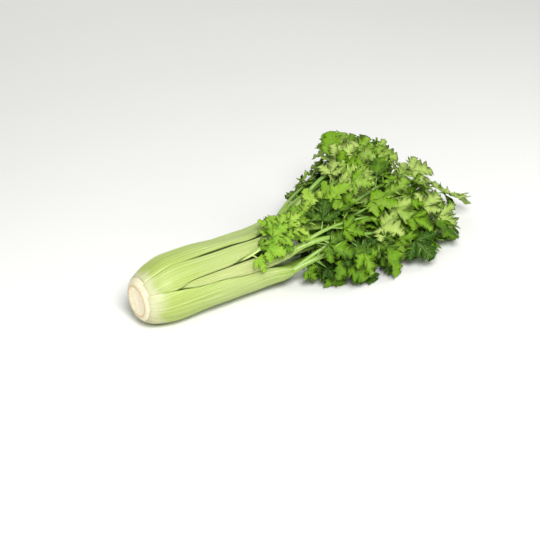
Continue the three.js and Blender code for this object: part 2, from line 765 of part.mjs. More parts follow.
const head = new THREE.Group();
head.add(piece('crown', crown(), 'crown'));
for (const stalk of OUTER_STALKS) head.add(piece(`stalk_${stalk.name}`, outerStalk(stalk), 'stalk'));
head.add(piece('stalk_c', tuckedStalk(TUCKED_STALK), 'stalk'));
for (const stalk of INNER_STALKS) head.add(piece(`stalk_${stalk.name}`, innerStalk(stalk), 'stalk'));
for (const stalk of HEART_STALKS) head.add(piece(`stalk_${stalk.name}`, heartStalk(stalk), 'heart_stalk'));

const stalks = [...OUTER_STALKS, TUCKED_STALK, ...INNER_STALKS, ...HEART_STALKS];
function startOf({ name }) {
  const { end, joint } = stalks.find((stalk) => stalk.name === name);
  return [end + CLEARANCE, ...joint];
}

function plan(list, firstOrder, stems, thick) {
  return list.map((leaf, i) => planLeaf({ ...leaf, start: startOf(leaf) }, firstOrder + i, stems, thick));
}

const leaves = [
  ...plan(LEAVES, 1, SIDE_STEMS, STEM_THICK),
  ...plan(HEART_LEAVES, 30, HEART_SIDE_STEMS, HEART_STEM_THICK),
];
for (const leaf of leaves) claim(stemSamples(leaf.curve, 0, leaf.thick * 0.7, leaf.facing), leaf.name);
for (const leaf of leaves) placeEndBlade(leaf);
for (let level = 0; level < SIDE_STEMS.length; level++) {
  for (const leaf of leaves) placeSideStems(leaf, level);
}
for (const leaf of leaves) {
  const look = leaf.stems === SIDE_STEMS ? 'leaf' : 'heart_leaf';
  head.add(piece(`leaf_${leaf.name}`, leafGeometry(leaf), look));
}

// The head's own frame: the middle of its footprint, on the table.
const footprint = new THREE.Box3().setFromObject(head);
const middle = footprint.getCenter(vec(0, 0, 0));
head.position.set(-middle.x, -middle.y, -footprint.min.z);

export default head;
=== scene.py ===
"""A head of celery lying on its side: ribbed stalks, cut crown and leafy end."""

import math
from collections import namedtuple

import bmesh
import bpy
import numpy as np
from bpy.props import FloatProperty, FloatVectorProperty, IntProperty, PointerProperty
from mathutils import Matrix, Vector


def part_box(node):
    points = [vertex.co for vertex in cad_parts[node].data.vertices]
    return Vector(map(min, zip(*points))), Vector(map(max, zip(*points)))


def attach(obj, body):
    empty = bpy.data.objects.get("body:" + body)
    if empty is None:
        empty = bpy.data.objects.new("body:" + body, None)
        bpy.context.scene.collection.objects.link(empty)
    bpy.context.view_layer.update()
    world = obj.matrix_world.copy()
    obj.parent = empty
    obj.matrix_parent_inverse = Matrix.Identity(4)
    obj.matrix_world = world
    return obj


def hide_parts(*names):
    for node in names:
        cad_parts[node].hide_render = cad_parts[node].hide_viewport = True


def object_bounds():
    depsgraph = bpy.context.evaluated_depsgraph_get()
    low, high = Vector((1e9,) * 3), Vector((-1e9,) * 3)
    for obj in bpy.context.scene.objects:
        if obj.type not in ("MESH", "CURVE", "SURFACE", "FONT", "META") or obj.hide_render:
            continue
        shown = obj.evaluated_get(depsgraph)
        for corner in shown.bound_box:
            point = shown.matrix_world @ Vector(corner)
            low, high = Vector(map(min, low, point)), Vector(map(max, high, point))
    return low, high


bl_info = {
    "name": "Head of Celery",
    "version": (1, 0, 0),
    "blender": (4, 5, 0),
    "location": "View3D > Sidebar > Celery",
    "description": "Ribbed stalks, cut crown and toothed leaves of a head of celery",
    "category": "Add Mesh",
}

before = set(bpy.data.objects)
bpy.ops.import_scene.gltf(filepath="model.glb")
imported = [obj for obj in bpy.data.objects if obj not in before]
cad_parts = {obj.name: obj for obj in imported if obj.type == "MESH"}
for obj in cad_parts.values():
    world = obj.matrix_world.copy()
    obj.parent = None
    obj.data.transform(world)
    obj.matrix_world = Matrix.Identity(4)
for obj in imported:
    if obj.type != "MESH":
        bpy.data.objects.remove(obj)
CAD_BOX = [list(corner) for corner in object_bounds()]

# Lengths below are in millimetres from the middle of the crown's cut face, as the stalks are laid out.
MM = 0.001
TINY = 1e-6
WELD = 0.5e-6
CROWN_LOW, CROWN_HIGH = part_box("crown")
LAYOUT_ORIGIN = np.array([CROWN_LOW.x, (CROWN_LOW.y + CROWN_HIGH.y) / 2, 0.0])
LAYOUT_BOX = [(np.array(corner) - LAYOUT_ORIGIN) / MM for corner in CAD_BOX]

# ---- The bunch ----

BUNCH_RADIUS = 35
AXIS_HEIGHT = 34.2
DISC_RADIUS = 17
DISC_DROP = 3  # how much lower than the bunch the disc sits
RIM_STEP = 0.6  # how much wider than the disc the bunch starts
SWELL_LENGTH = 44
SWELL_POWER = 0.62
CROWN_DEPTH = 12
CLEARANCE = 0.3
TABLE_GAP = 0.5

# Part of the way over the crown, from the middle of its cut face, with depth and radius there.
CROWN_PROFILE = [
    (0, 0.9, 0), (0.12, 0.8, 3), (0.3, 0.5, 8), (0.45, 0.2, 13), (0.52, 0.0, 15.4), (0.56, -0.3, 16.2),
    (0.59, -0.2, 16.8), (0.61, 0.1, 17.0), (0.64, 0.15, 17.4), (0.68, 0.5, 18.6), (0.72, 1.3, 19.9),
    (0.78, 2.6, 21.3), (0.85, 4.2, 22.6), (0.9, 6.2, 23.4), (0.93, 8.5, 20), (0.97, 11, 12), (1, 11.4, 0),
]
CROWN_SET_BACK = 0.4
CROWN_RAYS, RAY_HEIGHT = 23, 0.12
RING_GAP, RING_HEIGHT = 4.5, 0.07
RELIEF_DEPTH = 0.4
WRINKLES, WRINKLE_HEIGHT = 31, 0.25
# Parts of the way over it where rays, rings and wrinkles show.
RAYS_SEEN = ([0, 0.1, 0.5, 0.56, 1], [0, 0.6, 1, 0, 0])
RINGS_END = 0.54
WRINKLES_SEEN = ([0.6, 0.7, 0.85, 0.9], [0, 1, 1, 0])

# ---- Stalks ----

# The crescent section, whose edges draw in once it has left the crown.
BASE_EDGE_DROP, EDGE_DROP, EDGE_DROP_REACH = 0.3, 2.2, (34, 80)
EDGE_DEPTH = 0.22  # depth at its edges, as a part of its middle's
EDGE_TURN = 30  # how late the outer face turns in at a stalk's edge
THIN_EDGE = 0.8
EDGE_ROUNDING = (-6, -3, 0, 3, 6)
SINK_START = 0.45  # part of a sunk stalk's width over which its face sinks
RIB_CHANGE = 0.25  # how much the ribs' height changes from one to another
WANDER, FAST_WANDER = 0.3, 0.15  # height of the long and short waves in a stalk's face
# The oval that it narrows to, with round shoulders at its very end.
NARROWING = 0.94
SHOULDER_END = 0.66
SHOULDER_REACH = (-4, 14)  # way from its end over which they open
JOINT_RIBS = 0.7  # height of the ribs there, as a part of their full height
# Way from a stalk's end, and how far its section is open there.
END_OPENING = [(0, 0.0), (0, 0.6), (0.12, 0.82), (0.4, 0.95), (0.9, 1.0)]
OPEN_FROM = 2.2

TUCKED_RADIUS, TUCKED_RISE = 28, (33, 52)
TUCKED_DEPTH, TUCKED_SWELL = 3.8, (34, 60)
TUCKED_LOW = 0.4  # how much lower than its neighbours the tucked stalk stays
INNER_RADIUS = 23.2
INNER_DEPTH = 8.3
INNER_RIBS = 4
INNER_START = CROWN_DEPTH + 0.4
INNER_KNUCKLE = (6, 5)
INNER_NECK = 60
HEART_RADIUS = 7.2
HEART_THICK = 5
HEART_THIN = 1.6
HEART_NECK = 50
HEART_RIBS, HEART_RIB_HEIGHT = 7, 0.05
INNER_GREEN, HEART_GREEN = 0.15, 0.0
# Faces round a stalk or the crown, and along it.
OUTER_GRID = (180, 64)
INNER_GRID = (96, 48)
HEART_GRID = (28, 40)
CROWN_GRID = (186, 70)

# A stalk's low and high edges are [x, degrees round the bunch]; joint is the y and z of its far end.
# green makes a stalk's skin greener; stalk a's high green is painted shade on its top.
OUTER_STALKS = [
    dict(name="a", ribs=7, start=6.5, end=196, neck=128, deep=10, joint=(14, 60), knuckle=(5.6, 4.6),
         low=[(44, 70.2), (80, 73), (112, 72.8), (130, 69), (200, 68)],
         high=[(30, 132.1), (70, 129.9), (200, 127)],
         sink=[(70, 0), (125, 4.5)], green=0.75, white=0.7),
    dict(name="b", ribs=7, start=5, end=192, neck=135, deep=9, joint=(-14, 60), knuckle=(8, 5.6), skew=3,
         low=[(5, 36.3), (24, 26.7), (33, 23.8), (47, 30.9), (58, 32.2), (100, 32.6), (116, 40)],
         high=[(50, 70.8), (80, 69), (112, 68.8), (130, 66.6), (200, 66)], green=0.5, white=0.85),
    dict(name="d", ribs=9, start=3, end=172, neck=138, deep=11, joint=(-31, 22), knuckle=(9.5, 7),
         low=[(30, -62.1), (70, -59.3), (170, -56)],
         high=[(5, 36.7), (24, 27.1), (34, 23), (60, 15.4), (87, 12.8), (114, 4.3), (166, 2)],
         green=0.55, white=0.95),
    dict(name="e", ribs=7, start=5, end=196, neck=140, deep=10, joint=(34, 46), knuckle=(7.5, 6),
         low=[(30, 131.9), (70, 134.5), (190, 138)], high=[(30, 191.1), (70, 188.2), (190, 184)], green=0.7),
    dict(name="f", ribs=7, start=4, end=188, neck=140, deep=10, joint=(29, 15), knuckle=(8, 6),
         low=[(30, 190.9), (70, 193.2), (190, 196)], high=[(30, 245.1), (70, 242.8), (190, 240)], green=0.5),
    dict(name="g", ribs=7, start=4, end=182, neck=140, deep=10, joint=(-2, 8.5), knuckle=(9, 6),
         low=[(30, 244.9), (70, 246.6), (190, 248)], high=[(30, 298.1), (70, 296.4), (190, 295)], green=0.35),
]
# The tucked stalk's negative green makes its skin paler: painted light on a stalk that lies in shade between
# its neighbours.
TUCKED_STALK = dict(name="c", ribs=5, start=33, end=178, neck=138, deep=7, joint=(-30, 46), knuckle=(7, 5),
                    low=[(33, 23), (40, 22), (60, 15.5), (87, 12.9), (114, 5), (166, 3.2)],
                    high=[(33, 24), (47, 30.2), (58, 31.6)], green=-0.15)
INNER_STALKS = [
    dict(name="i", low=[(0, 52)], high=[(0, 124)], end=198, joint=(4, 52)),
    dict(name="j", low=[(0, -38)], high=[(0, 25)], end=190, joint=(-18, 36)),
    dict(name="k", low=[(0, -128)], high=[(0, -50)], end=194, joint=(2, 22)),
    dict(name="l", low=[(0, 138)], high=[(0, 220)], end=200, joint=(20, 34)),
]
HEART_STALKS = [
    dict(name="m", angle=37, end=112, joint=(-19.6, 48.7)),
    dict(name="n", angle=165, end=150, joint=(6, 42)),
    dict(name="o", angle=285, end=160, joint=(-3, 33)),
]

# ---- Leaves ----

# bend and tip are the other three points of a leaf's stem, which starts at the joint of its stalk. face
# is the way that its blades look, bare the part of the stem below its side stems, and filled the part
# below the filling leaflets.
Leaf = namedtuple("Leaf", "name bend tip face size bare filled", defaults=(0, None))
LEAVES = [
    Leaf("a", [(224, 16, 66), (236, 14, 106)], (300, 24, 92), (-0.3, -0.7, 0.6), 38, bare=0.7),
    Leaf("b", [(240, -18, 42), (290, -14, 92)], (350, -4, 66), (-0.2, -0.4, 0.9), 46),
    Leaf("c", [(205, -42, 62), (250, -56, 52)], (318, -60, 34), (-0.1, -0.5, 0.85), 44),
    Leaf("d", [(205, -42, 38), (250, -54, 44)], (322, -60, 18), (0, -0.6, 0.8), 30, bare=-0.04),
    Leaf("i", [(228, 26, 70), (278, 50, 84)], (348, 50, 76), (-0.2, -0.5, 0.85), 40, bare=0.58),
    Leaf("j", [(230, -30, 38), (290, -40, 42)], (358, -44, 36), (-0.1, -0.5, 0.85), 44),
    Leaf("n", [(200, 6, 42), (290, 4, 42)], (406, -8, 36), (0, -0.3, 0.95), 38, bare=0.14),
    Leaf("l", [(245, 28, 38), (310, 40, 52)], (392, 38, 46), (-0.1, 0.2, 0.95), 44),
    Leaf("e", [(230, 52, 52), (290, 68, 64)], (362, 70, 44), (0, 0.5, 0.85), 40, bare=0.3, filled=0.45),
    Leaf("g", [(230, -4, 12), (300, -14, 14)], (352, -38, 12), (0, 0, 1), 44),
    Leaf("k", [(240, 6, 22), (310, 14, 22)], (392, 22, 16), (0, 0.1, 1), 42),
    Leaf("f", [(225, 44, 16), (280, 62, 18)], (346, 78, 10), (0, 0.3, 0.95), 44, bare=0.15, filled=0.4),
]
HEART_LEAVES = [
    Leaf("m", [(119, -28.8, 52.3), (136, -38, 69)], (190, -16, 70), (0, -0.5, 0.87), 27, filled=0.3),
    Leaf("o", [(200, -3, 40), (226, -8, 64)], (234, -12, 78), (-0.6, -0.6, 0.5), 30),
]
# Darkest and lightest leaflets of each leaf, from 0 for deep green to 1 for pale. A leaflet's tone is drawn
# at random in its leaf's range, and some ranges are painted light: leaf a's pale range is painted sheen on
# the top leaf, and the dark ranges of c, d and g are painted shade on the low leaves at the front.
LEAF_TONES_AND_PAINTED_LIGHT = dict(a=(0.5, 1.2), b=(0, 0.9), c=(-0.1, 0.6), d=(-0.2, 0.4), g=(-0.1, 0.6), j=(0.1, 1), k=(0.2, 1.1),
              n=(0.1, 1.1), l=(0.1, 1.1), m=(0.2, 0.85), o=(0.2, 0.85))
OTHER_SHADES = (-0.1, 0.9)
FIRST_ORDER = 1
FIRST_HEART_ORDER = 30
BRANCH_ORDER = 50

# Pairs of side stems: place along the stem, own length and blade size as parts of the end blade's, and
# whether the blade has three leaflets.
SideStem = namedtuple("SideStem", "at reach blade triple")


def side_stems(*rows):
    return [SideStem(*row) for row in rows]


SIDE_STEMS = side_stems(
    (0.27, 0.8, 0.82, True), (0.5, 0.5, 0.68, True),
    (0.72, 0.34, 0.9, False), (0.38, 0.34, 0.85, False),
)
HEART_SIDE_STEMS = side_stems(
    (0.5, 0.32, 0.9, True), (0.34, 0.3, 0.8, True),
    (0.72, 0.4, 0.85, True), (0.88, 0.3, 0.85, False),
)
# Leaflets that fill the leafy end between the large ones, on any side of a stem.
FILLING_STEMS = side_stems(
    (0.42, 0.4, 0.72, True), (0.66, 0.34, 0.68, True), (0.86, 0.3, 0.64, True),
    (0.24, 0.4, 0.66, True), (0.56, 0.28, 0.62, True), (0.34, 0.26, 0.6, True),
    (0.96, 0.28, 0.62, True), (0.48, 0.6, 0.6, True), (0.74, 0.55, 0.58, True),
    (0.16, 0.3, 0.56, True), (0.6, 0.24, 0.56, False), (0.8, 0.24, 0.56, False),
    (0.3, 0.6, 0.5, True), (0.52, 0.2, 0.5, True),
)
BRANCH_FILLING, HEART_FILLING = 10, 9  # rounds of them on a branch and in the heart
FILLING_CROWD = 0.2  # part of a filling leaflet that may touch others
BRANCH_HANDS = dict(a=1, b=1, c=-1, d=-1, i=1, j=-1, n=1, l=1, e=-1, g=1, k=-1, f=1)
BRANCH_BARE, BRANCH_SIZE = 0.12, 0.9
BRANCH_APART, BRANCH_UP = (16, 24), (2, 12)  # how far from the leaf's own stem it is drawn
SEEN_STEMS = "bcdn"
STEM_SEEN = (-1.0, 0.35)  # how far round a stem from its side filling leaflets go, in radians
STEM_HIDDEN = (-0.6, 1.4)
FRONT = (-0.531, -0.705, 0.469)  # the side from which the arching stems are seen
CLEAR_STEMS = dict(a=0.9, b=0.8, c=0.4, d=0.5)  # part of a stem that filling leaflets leave clear in front
CLEAR_BRANCHES = dict(d=0.35)
CLEAR_REACH = (4, 26)  # how far in front of a stem they stay clear of it
SLOPE_WAY = (-0.413, 0.672, 0.615)  # filling leaflets stay below a slope that rises from the bunch
SLOPE_REACH = -15
BOX_MARGIN = 6  # how far filling leaflets may reach out of the box
# Blades stay out of the bunch, up to where it opens.
BUNCH_ROOM, BUNCH_OPENS, OPENING_SLOPE = 2.2, 190, 0.8

# Ranges of what is drawn for every blade, for a side stem and for a filling leaflet, with how small
# the last try makes them.
BLADE_DRAWS = dict(dip=(-0.5, 0.05), roll=(-0.6, 0.6), size=(0.85, 1.12), bow=(0.05, 0.3),
                   keel=(-0.12, 0.22), wave=(0.05, 0.16), phase=(0, 6))
SIDE_DRAWS = dict(angle=(0.65, 1.2), lift=(-0.5, 0.5), length=(0.8, 1.25), droop=(0, 0.35))
SIDE_SMALLEST = 0.62
FILLING_DRAWS = dict(slide=(-0.07, 0.04), angle=(0.45, 1.15), length=(0.8, 1.2), droop=(0, 0.3),
                     turn=(0, 0.9), bow=(0.05, 0.6), keel=(-0.15, 0.4))
FILLING_SMALLEST = 0.66
SHADE_CHANGE = (-0.12, 0.12)  # from one leaflet of a blade to the next

# Half width of a blade with its teeth filled in, at a few places along it, in blade lengths.
TRIPLE_SPREAD = [(-0.1, 0.4), (0.05, 0.7), (0.4, 0.72), (0.6, 0.45), (0.8, 0.34), (1.03, 0.06)]
SINGLE_SPREAD = [(0, 0.06), (0.36, 0.47), (0.7, 0.38), (1.03, 0.06)]

# Half width of a leaflet along its rib: pointed lobes, and the cuts between them.
CENTRE_LOBES = [(0, 0.035), (0.1, 0.06), (0.2, 0.32), (0.29, 0.47), (0.36, 0.38), (0.42, 0.25), (0.48, 0.33),
                (0.57, 0.41), (0.63, 0.31), (0.68, 0.18), (0.74, 0.22), (0.8, 0.25), (0.89, 0.13), (1, 0)]
SINGLE_LOBES = [(0, 0.03), (0.05, 0.1), (0.12, 0.36), (0.2, 0.49), (0.29, 0.38), (0.36, 0.26), (0.44, 0.33),
                (0.54, 0.39), (0.61, 0.29), (0.67, 0.17), (0.74, 0.21), (0.8, 0.23), (0.89, 0.12), (1, 0)]
SIDE_LOBES = [(0, 0.03), (0.08, 0.08), (0.17, 0.33), (0.25, 0.46), (0.33, 0.37), (0.39, 0.25), (0.47, 0.32),
              (0.56, 0.38), (0.62, 0.29), (0.68, 0.17), (0.74, 0.21), (0.81, 0.23), (0.89, 0.12), (1, 0)]
# A leaflet's lobes and its angle, length, width and lift in its blade.
SINGLE_LEAFLET = (SINGLE_LOBES, 0, 1.03, 1, 0.0)
CENTRE_LEAFLET = (CENTRE_LOBES, 0, 1.03, 1, 0.02)
SIDE_LEAFLETS = [(SIDE_LOBES, hand * 62, 0.84, 0.86, -0.03) for hand in (-1, 1)]
LOBE_SLANT = 0.55
TOOTH_DEPTH = 0.16
SIDE_VEINS = 10
LARGE_GRID = (8, 2 * (len(CENTRE_LOBES) - 1))  # faces round a leaflet and along it
FILLING_GRID = (4, len(CENTRE_LOBES) - 1)
# How far a leaflet puckers between its veins, turns up at its edge, ruffles and folds along its rib.
PUCKER = 0.014
EDGE_RISE = 0.02
RUFFLE = 0.05
CREASE = 0.16

STEM_THICK, STEM_TIP, STEM_COLLAR = 4.4, 1.2, 1.3
HEART_STEM_THICK, HEART_STEM_COLLAR = 1.4, 0.2
BRANCH_THICK, BRANCH_TIP = 3, 0.96
SIDE_STEM_THICK, FILLING_STEM_THICK, SIDE_STEM_TIP = 1.26, 0.81, 0.63
STEM_SUNK, SIDE_STEM_SUNK = 3, 1.5  # how far a stem starts inside what bears it
STEM_RIDGES, STEM_RIDGE = 8, 0.06
STEM_GROOVE, GROOVE_SHARPNESS = 0.22, 9
STEM_GRID, BRANCH_GRID, SIDE_STEM_GRID = (16, 40), (12, 32), (6, 5)

# Room that each stem and blade takes up is claimed in cells.
CELL = 3.2
BLADE_STEP, STEM_STEP = 2, 1.5
TRIES = 24
# Leaves ease onto the table, and their middle surface stays this high above the gap that they leave there.
BLADE_RIB = 0.7
TABLE_EASE = 6

# ---- Camera and lights ----

# The target and the lens are in millimetres, angles in degrees, and the rest in metres and watts.
VIEW_TARGET = (235.0, 0.0, 45.0)
VIEW_AZIMUTH, VIEW_ELEVATION = -37, 28
VIEW_DISTANCE = 1.5
LENS_LENGTH = 90.9
LENS_SHIFT = (-0.095, -0.085)
FLOOR_SIZE = 4
# Name, place, size and power of each lamp, which all look at the origin.
LIGHTS = [
    ("key", (-0.47, -0.92, 1.07), 0.6, 23),
    ("fill", (1.1, -0.9, 0.9), 1.4, 7.5),
    ("back", (0.4, 1.3, 1.0), 1.2, 4),
]
SKY_COLOUR, SKY_STRENGTH = (1.0, 1.0, 0.97, 1.0), 0.35


def tone(code):
    """Linear colour of a #rrggbb code, with alpha."""
    parts = [int(code[i:i + 2], 16) / 255 for i in (1, 3, 5)]
    return tuple(c / 12.92 if c <= 0.04045 else ((c + 0.055) / 1.055) ** 2.4 for c in parts) + (1.0,)


# ---- What a user may change ----


class CelerySizes(bpy.types.PropertyGroup):
    rib_height: FloatProperty(
        name="Rib height", description="Height of the ribs along a stalk",
        default=0.45 * MM, min=0, max=2 * MM, unit="LENGTH", precision=5)
    blade_thickness: FloatProperty(
        name="Blade thickness", description="Thickness of a leaflet along its rib",
        default=0.5 * MM, min=0.1 * MM, max=2 * MM, unit="LENGTH", precision=5)
    filling: IntProperty(
        name="Filling leaflets", description="Rounds of small leaflets that fill the leafy end",
        default=len(FILLING_STEMS), min=0, max=len(FILLING_STEMS))


COLOUR = dict(size=4, min=0, max=1, subtype="COLOR")  # what every colour's property has


class CeleryColours(bpy.types.PropertyGroup):
    base: FloatVectorProperty(
        name="Stalk base", description="Colour of the stalks at the crown", default=tone("#c6c6a0"), **COLOUR)
    middle: FloatVectorProperty(
        name="Stalk", description="Colour of the stalks halfway along", default=tone("#b1b977"), **COLOUR)
    joint: FloatVectorProperty(
        name="Joint", description="Colour of the stalks at their joints and of the leaf stems",
        default=tone("#88aa39"), **COLOUR)
    cut: FloatVectorProperty(
        name="Cut face", description="Colour of the crown's cut face", default=tone("#fff3d4"), **COLOUR)
    leaf: FloatVectorProperty(
        name="Leaf", description="Colour of the outer leaves", default=tone("#67930c"), **COLOUR)
    heart_leaf: FloatVectorProperty(
        name="Heart leaf", description="Colour of the small leaves of the heart",
        default=tone("#82aa30"), **COLOUR)
    floor: FloatVectorProperty(
        name="Floor", description="Colour of the floor under the celery", default=tone("#f2f2f0"), **COLOUR)


class CeleryHead(bpy.types.PropertyGroup):
    sizes: PointerProperty(type=CelerySizes)
    colours: PointerProperty(type=CeleryColours)


# ---- Small helpers ----


def lerp(a, b, t):
    return (1 - t) * a + t * b


def smoothstep(x, low, high):
    t = np.clip((x - low) / (high - low), 0, 1)
    return t * t * (3 - 2 * t)


def eased(x, entries):
    """Value that eases from one (x, value) entry to the next."""
    value = np.full_like(np.asarray(x, float), entries[0][1])
    for (before, _), (after, target) in zip(entries, entries[1:]):
        value = lerp(value, target, smoothstep(x, before, after))
    return value


def edge_line(x, entries):
    """Value along a line through (x, value) entries, with its corners rounded."""
    x = np.asarray(x, float)
    places, values = np.transpose(entries)
    return sum(np.interp(x + shift, places, values) for shift in EDGE_ROUNDING) / len(EDGE_ROUNDING)


def ridges(count):
    """Round ridges from 0 to 1 high, one each time that the count goes up by one."""
    return 0.5 - 0.5 * np.cos(2 * math.pi * count)


def unit(v):
    return v / np.linalg.norm(v, axis=-1, keepdims=True)


def columns(*parts):
    """Points from their x, y and z."""
    return np.stack(np.broadcast_arrays(*parts), axis=-1)


def bunch_radius(x):
    swell = np.sin(np.minimum(1, np.asarray(x, float) / SWELL_LENGTH) * math.pi / 2) ** SWELL_POWER
    return lerp(DISC_RADIUS + RIM_STEP, BUNCH_RADIUS, swell)


def slimness(x):
    """Radius of the bunch as a part of its full one."""
    return bunch_radius(x) / BUNCH_RADIUS


def axis_height(x):
    return AXIS_HEIGHT - DISC_DROP * (1 - smoothstep(x, 0, SWELL_LENGTH))


def bunch_point(x, angle, radius):
    a = np.radians(angle)
    return columns(x, -radius * np.cos(a), axis_height(x) + radius * np.sin(a))


def in_frame(points):
    """Layout points in millimetres, moved to where the frame has them, in metres."""
    return points * MM + LAYOUT_ORIGIN


# ---- Skins ----


def skin(bm, grid, place, looks=0, mark=0.5):
    """Wraps a grid of faces round and along into a closed skin, once finished() has welded it.

    place gives points from turn round the skin and part along it. mark is a number that the finish
    reads: a leaflet's shade, or how far across its ribs a point is.
    """
    bm.loops.layers.uv.verify()
    mark_layer = bm.verts.layers.float.get("mark") or bm.verts.layers.float.new("mark")
    made = bmesh.ops.create_grid(
        bm, x_segments=grid[0], y_segments=grid[1], size=0.5, calc_uvs=True)["verts"]
    turn = np.array([v.co.x + 0.5 for v in made])
    turn = np.where(turn > 1 - TINY, 0, turn)  # both sides of the seam are one place
    part = np.array([v.co.y + 0.5 for v in made])
    marks = mark(turn, part) if callable(mark) else np.full(len(made), mark)
    for vert, point, number in zip(made, in_frame(place(turn, part)).tolist(), marks.tolist()):
        vert.co = point
        vert[mark_layer] = number
    for face in {face for vert in made for face in vert.link_faces}:
        face.material_index = looks
        face.smooth = True


def finished(bm, name, materials, slot, *nodes):
    """Welds and closes the skins, and makes them a piece that stands for its CAD nodes."""
    bmesh.ops.remove_doubles(bm, verts=bm.verts, dist=WELD)
    bmesh.ops.recalc_face_normals(bm, faces=bm.faces)
    mesh = bpy.data.meshes.new(name)
    bm.to_mesh(mesh)
    bm.free()
    for material in materials:
        mesh.materials.append(material)
    piece = bpy.data.objects.new(name, mesh)
    bpy.context.scene.collection.objects.link(piece)
    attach(piece, "root")
    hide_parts(*nodes)


# ---- Materials ----


class Recipe:
    """A material and the nodes added to it one after another."""

    def __init__(self, name, roughness, coat=0.0, subsurface=0.0, depth=0.002, gloss=0.5):
        self.material = bpy.data.materials.new(name)
        self.material.use_nodes = True
        self.tree = self.material.node_tree
        self.shader = self.tree.nodes["Principled BSDF"]
        settings = {
            "Roughness": roughness, "Specular IOR Level": gloss, "Coat Weight": coat, "Coat Roughness": 0.3,
            "Subsurface Weight": subsurface, "Subsurface Radius": (0.7, 1.0, 0.3), "Subsurface Scale": depth,
        }
        for socket, value in settings.items():
            self.shader.inputs[socket].default_value = value

    def add(self, kind, inputs=None, **settings):
        """Adds a node; an input is a value or another node's output."""
        made = self.tree.nodes.new("ShaderNode" + kind)
        for setting, value in settings.items():
            setattr(made, setting, value)
        for socket, value in (inputs or {}).items():
            if isinstance(value, bpy.types.NodeSocket):
                self.tree.links.new(value, made.inputs[socket])
            else:
                made.inputs[socket].default_value = value
        return made

    def math(self, operation, a, b=0.0, c=0.0):
        return self.add("Math", {0: a, 1: b, 2: c}, operation=operation).outputs[0]

    def times(self, a, b):
        return self.math("MULTIPLY", a, b)

    def waves(self, value, count):
        """1 wherever the value times the count is whole, and -1 halfway between."""
        return self.math("COSINE", self.times(value, 2 * math.pi * count))

    def ease(self, value, low, high, to_low=0.0, to_high=1.0):
        inputs = {"Value": value, "From Min": low, "From Max": high, "To Min": to_low, "To Max": to_high}
        return self.add("MapRange", inputs, interpolation_type="SMOOTHSTEP").outputs["Result"]

    def mix(self, factor, a, b, blend_type="MIX"):
        inputs = {0: factor, 6: a, 7: b}
        return self.add("Mix", inputs, data_type="RGBA", blend_type=blend_type).outputs[2]

    def noise(self, vector, scale, detail=3.0, roughness=0.5):
        inputs = {"Vector": vector, "Scale": scale, "Detail": detail, "Roughness": roughness}
        return self.add("TexNoise", inputs).outputs["Fac"]

    def mapped(self, vector, **settings):
        return self.add("Mapping", {"Vector": vector, **settings}).outputs["Vector"]

    def place(self):
        return self.add("TexCoord").outputs["Object"]

    def own_uv(self):
        return self.add("TexCoord").outputs["UV"]

    def mark(self):
        return self.add("Attribute", attribute_name="mark", attribute_type="GEOMETRY").outputs["Fac"]

    def apart(self, vector):
        return self.add("SeparateXYZ", {"Vector": vector}).outputs

    def together(self, **parts):
        return self.add("CombineXYZ", parts).outputs["Vector"]

    def paint(self, colour, height=None, strength=0.3, distance=0.0003):
        self.tree.links.new(colour, self.shader.inputs["Base Color"])
        if height is not None:
            bump = self.add("Bump", {"Height": height, "Strength": strength, "Distance": distance})
            self.tree.links.new(bump.outputs["Normal"], self.shader.inputs["Normal"])
        return self.material


def faded(colour, other, amount):
    return tuple(lerp(a, b, amount) for a, b in zip(colour, other))


def stalk_finish(name, colours, green, white=1.0):
    """Waxy stalk: white at the crown, then green, greener in the furrows between its ribs: partly its own
    tint, partly painted shade in the furrows.
    """
    recipe = Recipe(name, roughness=0.45, coat=0.04, subsurface=0.1, gloss=0.35)
    place, rib = recipe.place(), recipe.mark()
    along = recipe.apart(place)["X"]
    mottle = recipe.noise(recipe.mapped(place, Scale=(14, 60, 60)), 1.0, 4.0)
    wandering = recipe.math("MULTIPLY_ADD", recipe.math("SUBTRACT", mottle, 0.5), 0.03, along)
    start = LAYOUT_ORIGIN[0]
    # green moves the skin towards the joint's green, and a negative green makes it paler; this is painted
    # shade on stalk a and painted light on stalk c.
    body = faded(colours.middle, colours.joint, green * 0.5)
    shoulder = faded(colours.middle, tone("#96ad36"), 0.4 + green * 0.5)
    green_part = recipe.mix(recipe.ease(wandering, start + 0.12, start + 0.2), body, colours.joint)
    lower_part = recipe.mix(recipe.ease(wandering, start + 0.035, start + 0.09), shoulder, green_part)
    whitening = recipe.ease(wandering, start + 0.006 * white, start + 0.024 * white)
    whole = recipe.mix(whitening, colours.base, lower_part)
    rough_cut = recipe.ease(wandering, start + 0.007, start + 0.002, 0.0, 0.2)
    cut_edge = recipe.mix(rough_cut, whole, tone("#c2995c"))
    # The furrows between the ribs are mixed towards a darker green, more so away from the crown: partly the
    # stalk's own tint, partly painted shade in the furrows.
    furrow = recipe.ease(recipe.waves(rib, 1), -0.1, 1.0)
    depth = recipe.ease(along, start + 0.01, start + 0.06, 0.1, 0.55)
    furrow_green_and_shade = faded(colours.joint, tone("#5f8f26"), 0.4)
    streaked = recipe.mix(recipe.times(furrow, depth), cut_edge, furrow_green_and_shade)
    lines = recipe.together(X=recipe.times(rib, 2.6), Y=recipe.times(along, 9.0))
    fibres = recipe.noise(lines, 1.0, 3.0, 0.6)
    fibrous = recipe.mix(recipe.ease(fibres, 0.42, 0.72, 0.0, 0.4), streaked, tone("#e4e8b6"))
    shaded = recipe.mix(recipe.ease(fibres, 0.5, 0.28, 0.0, 0.35), fibrous, tone("#8fb048"), "MULTIPLY")
    near_crown = recipe.ease(along, start + 0.09, start + 0.02)
    specks = recipe.times(recipe.ease(recipe.noise(place, 260, 2.0), 0.69, 0.76), near_crown)
    speckled = recipe.mix(recipe.times(specks, 0.6), shaded, tone("#a8854a"))
    return recipe.paint(speckled, fibres, 0.4, 0.0002)


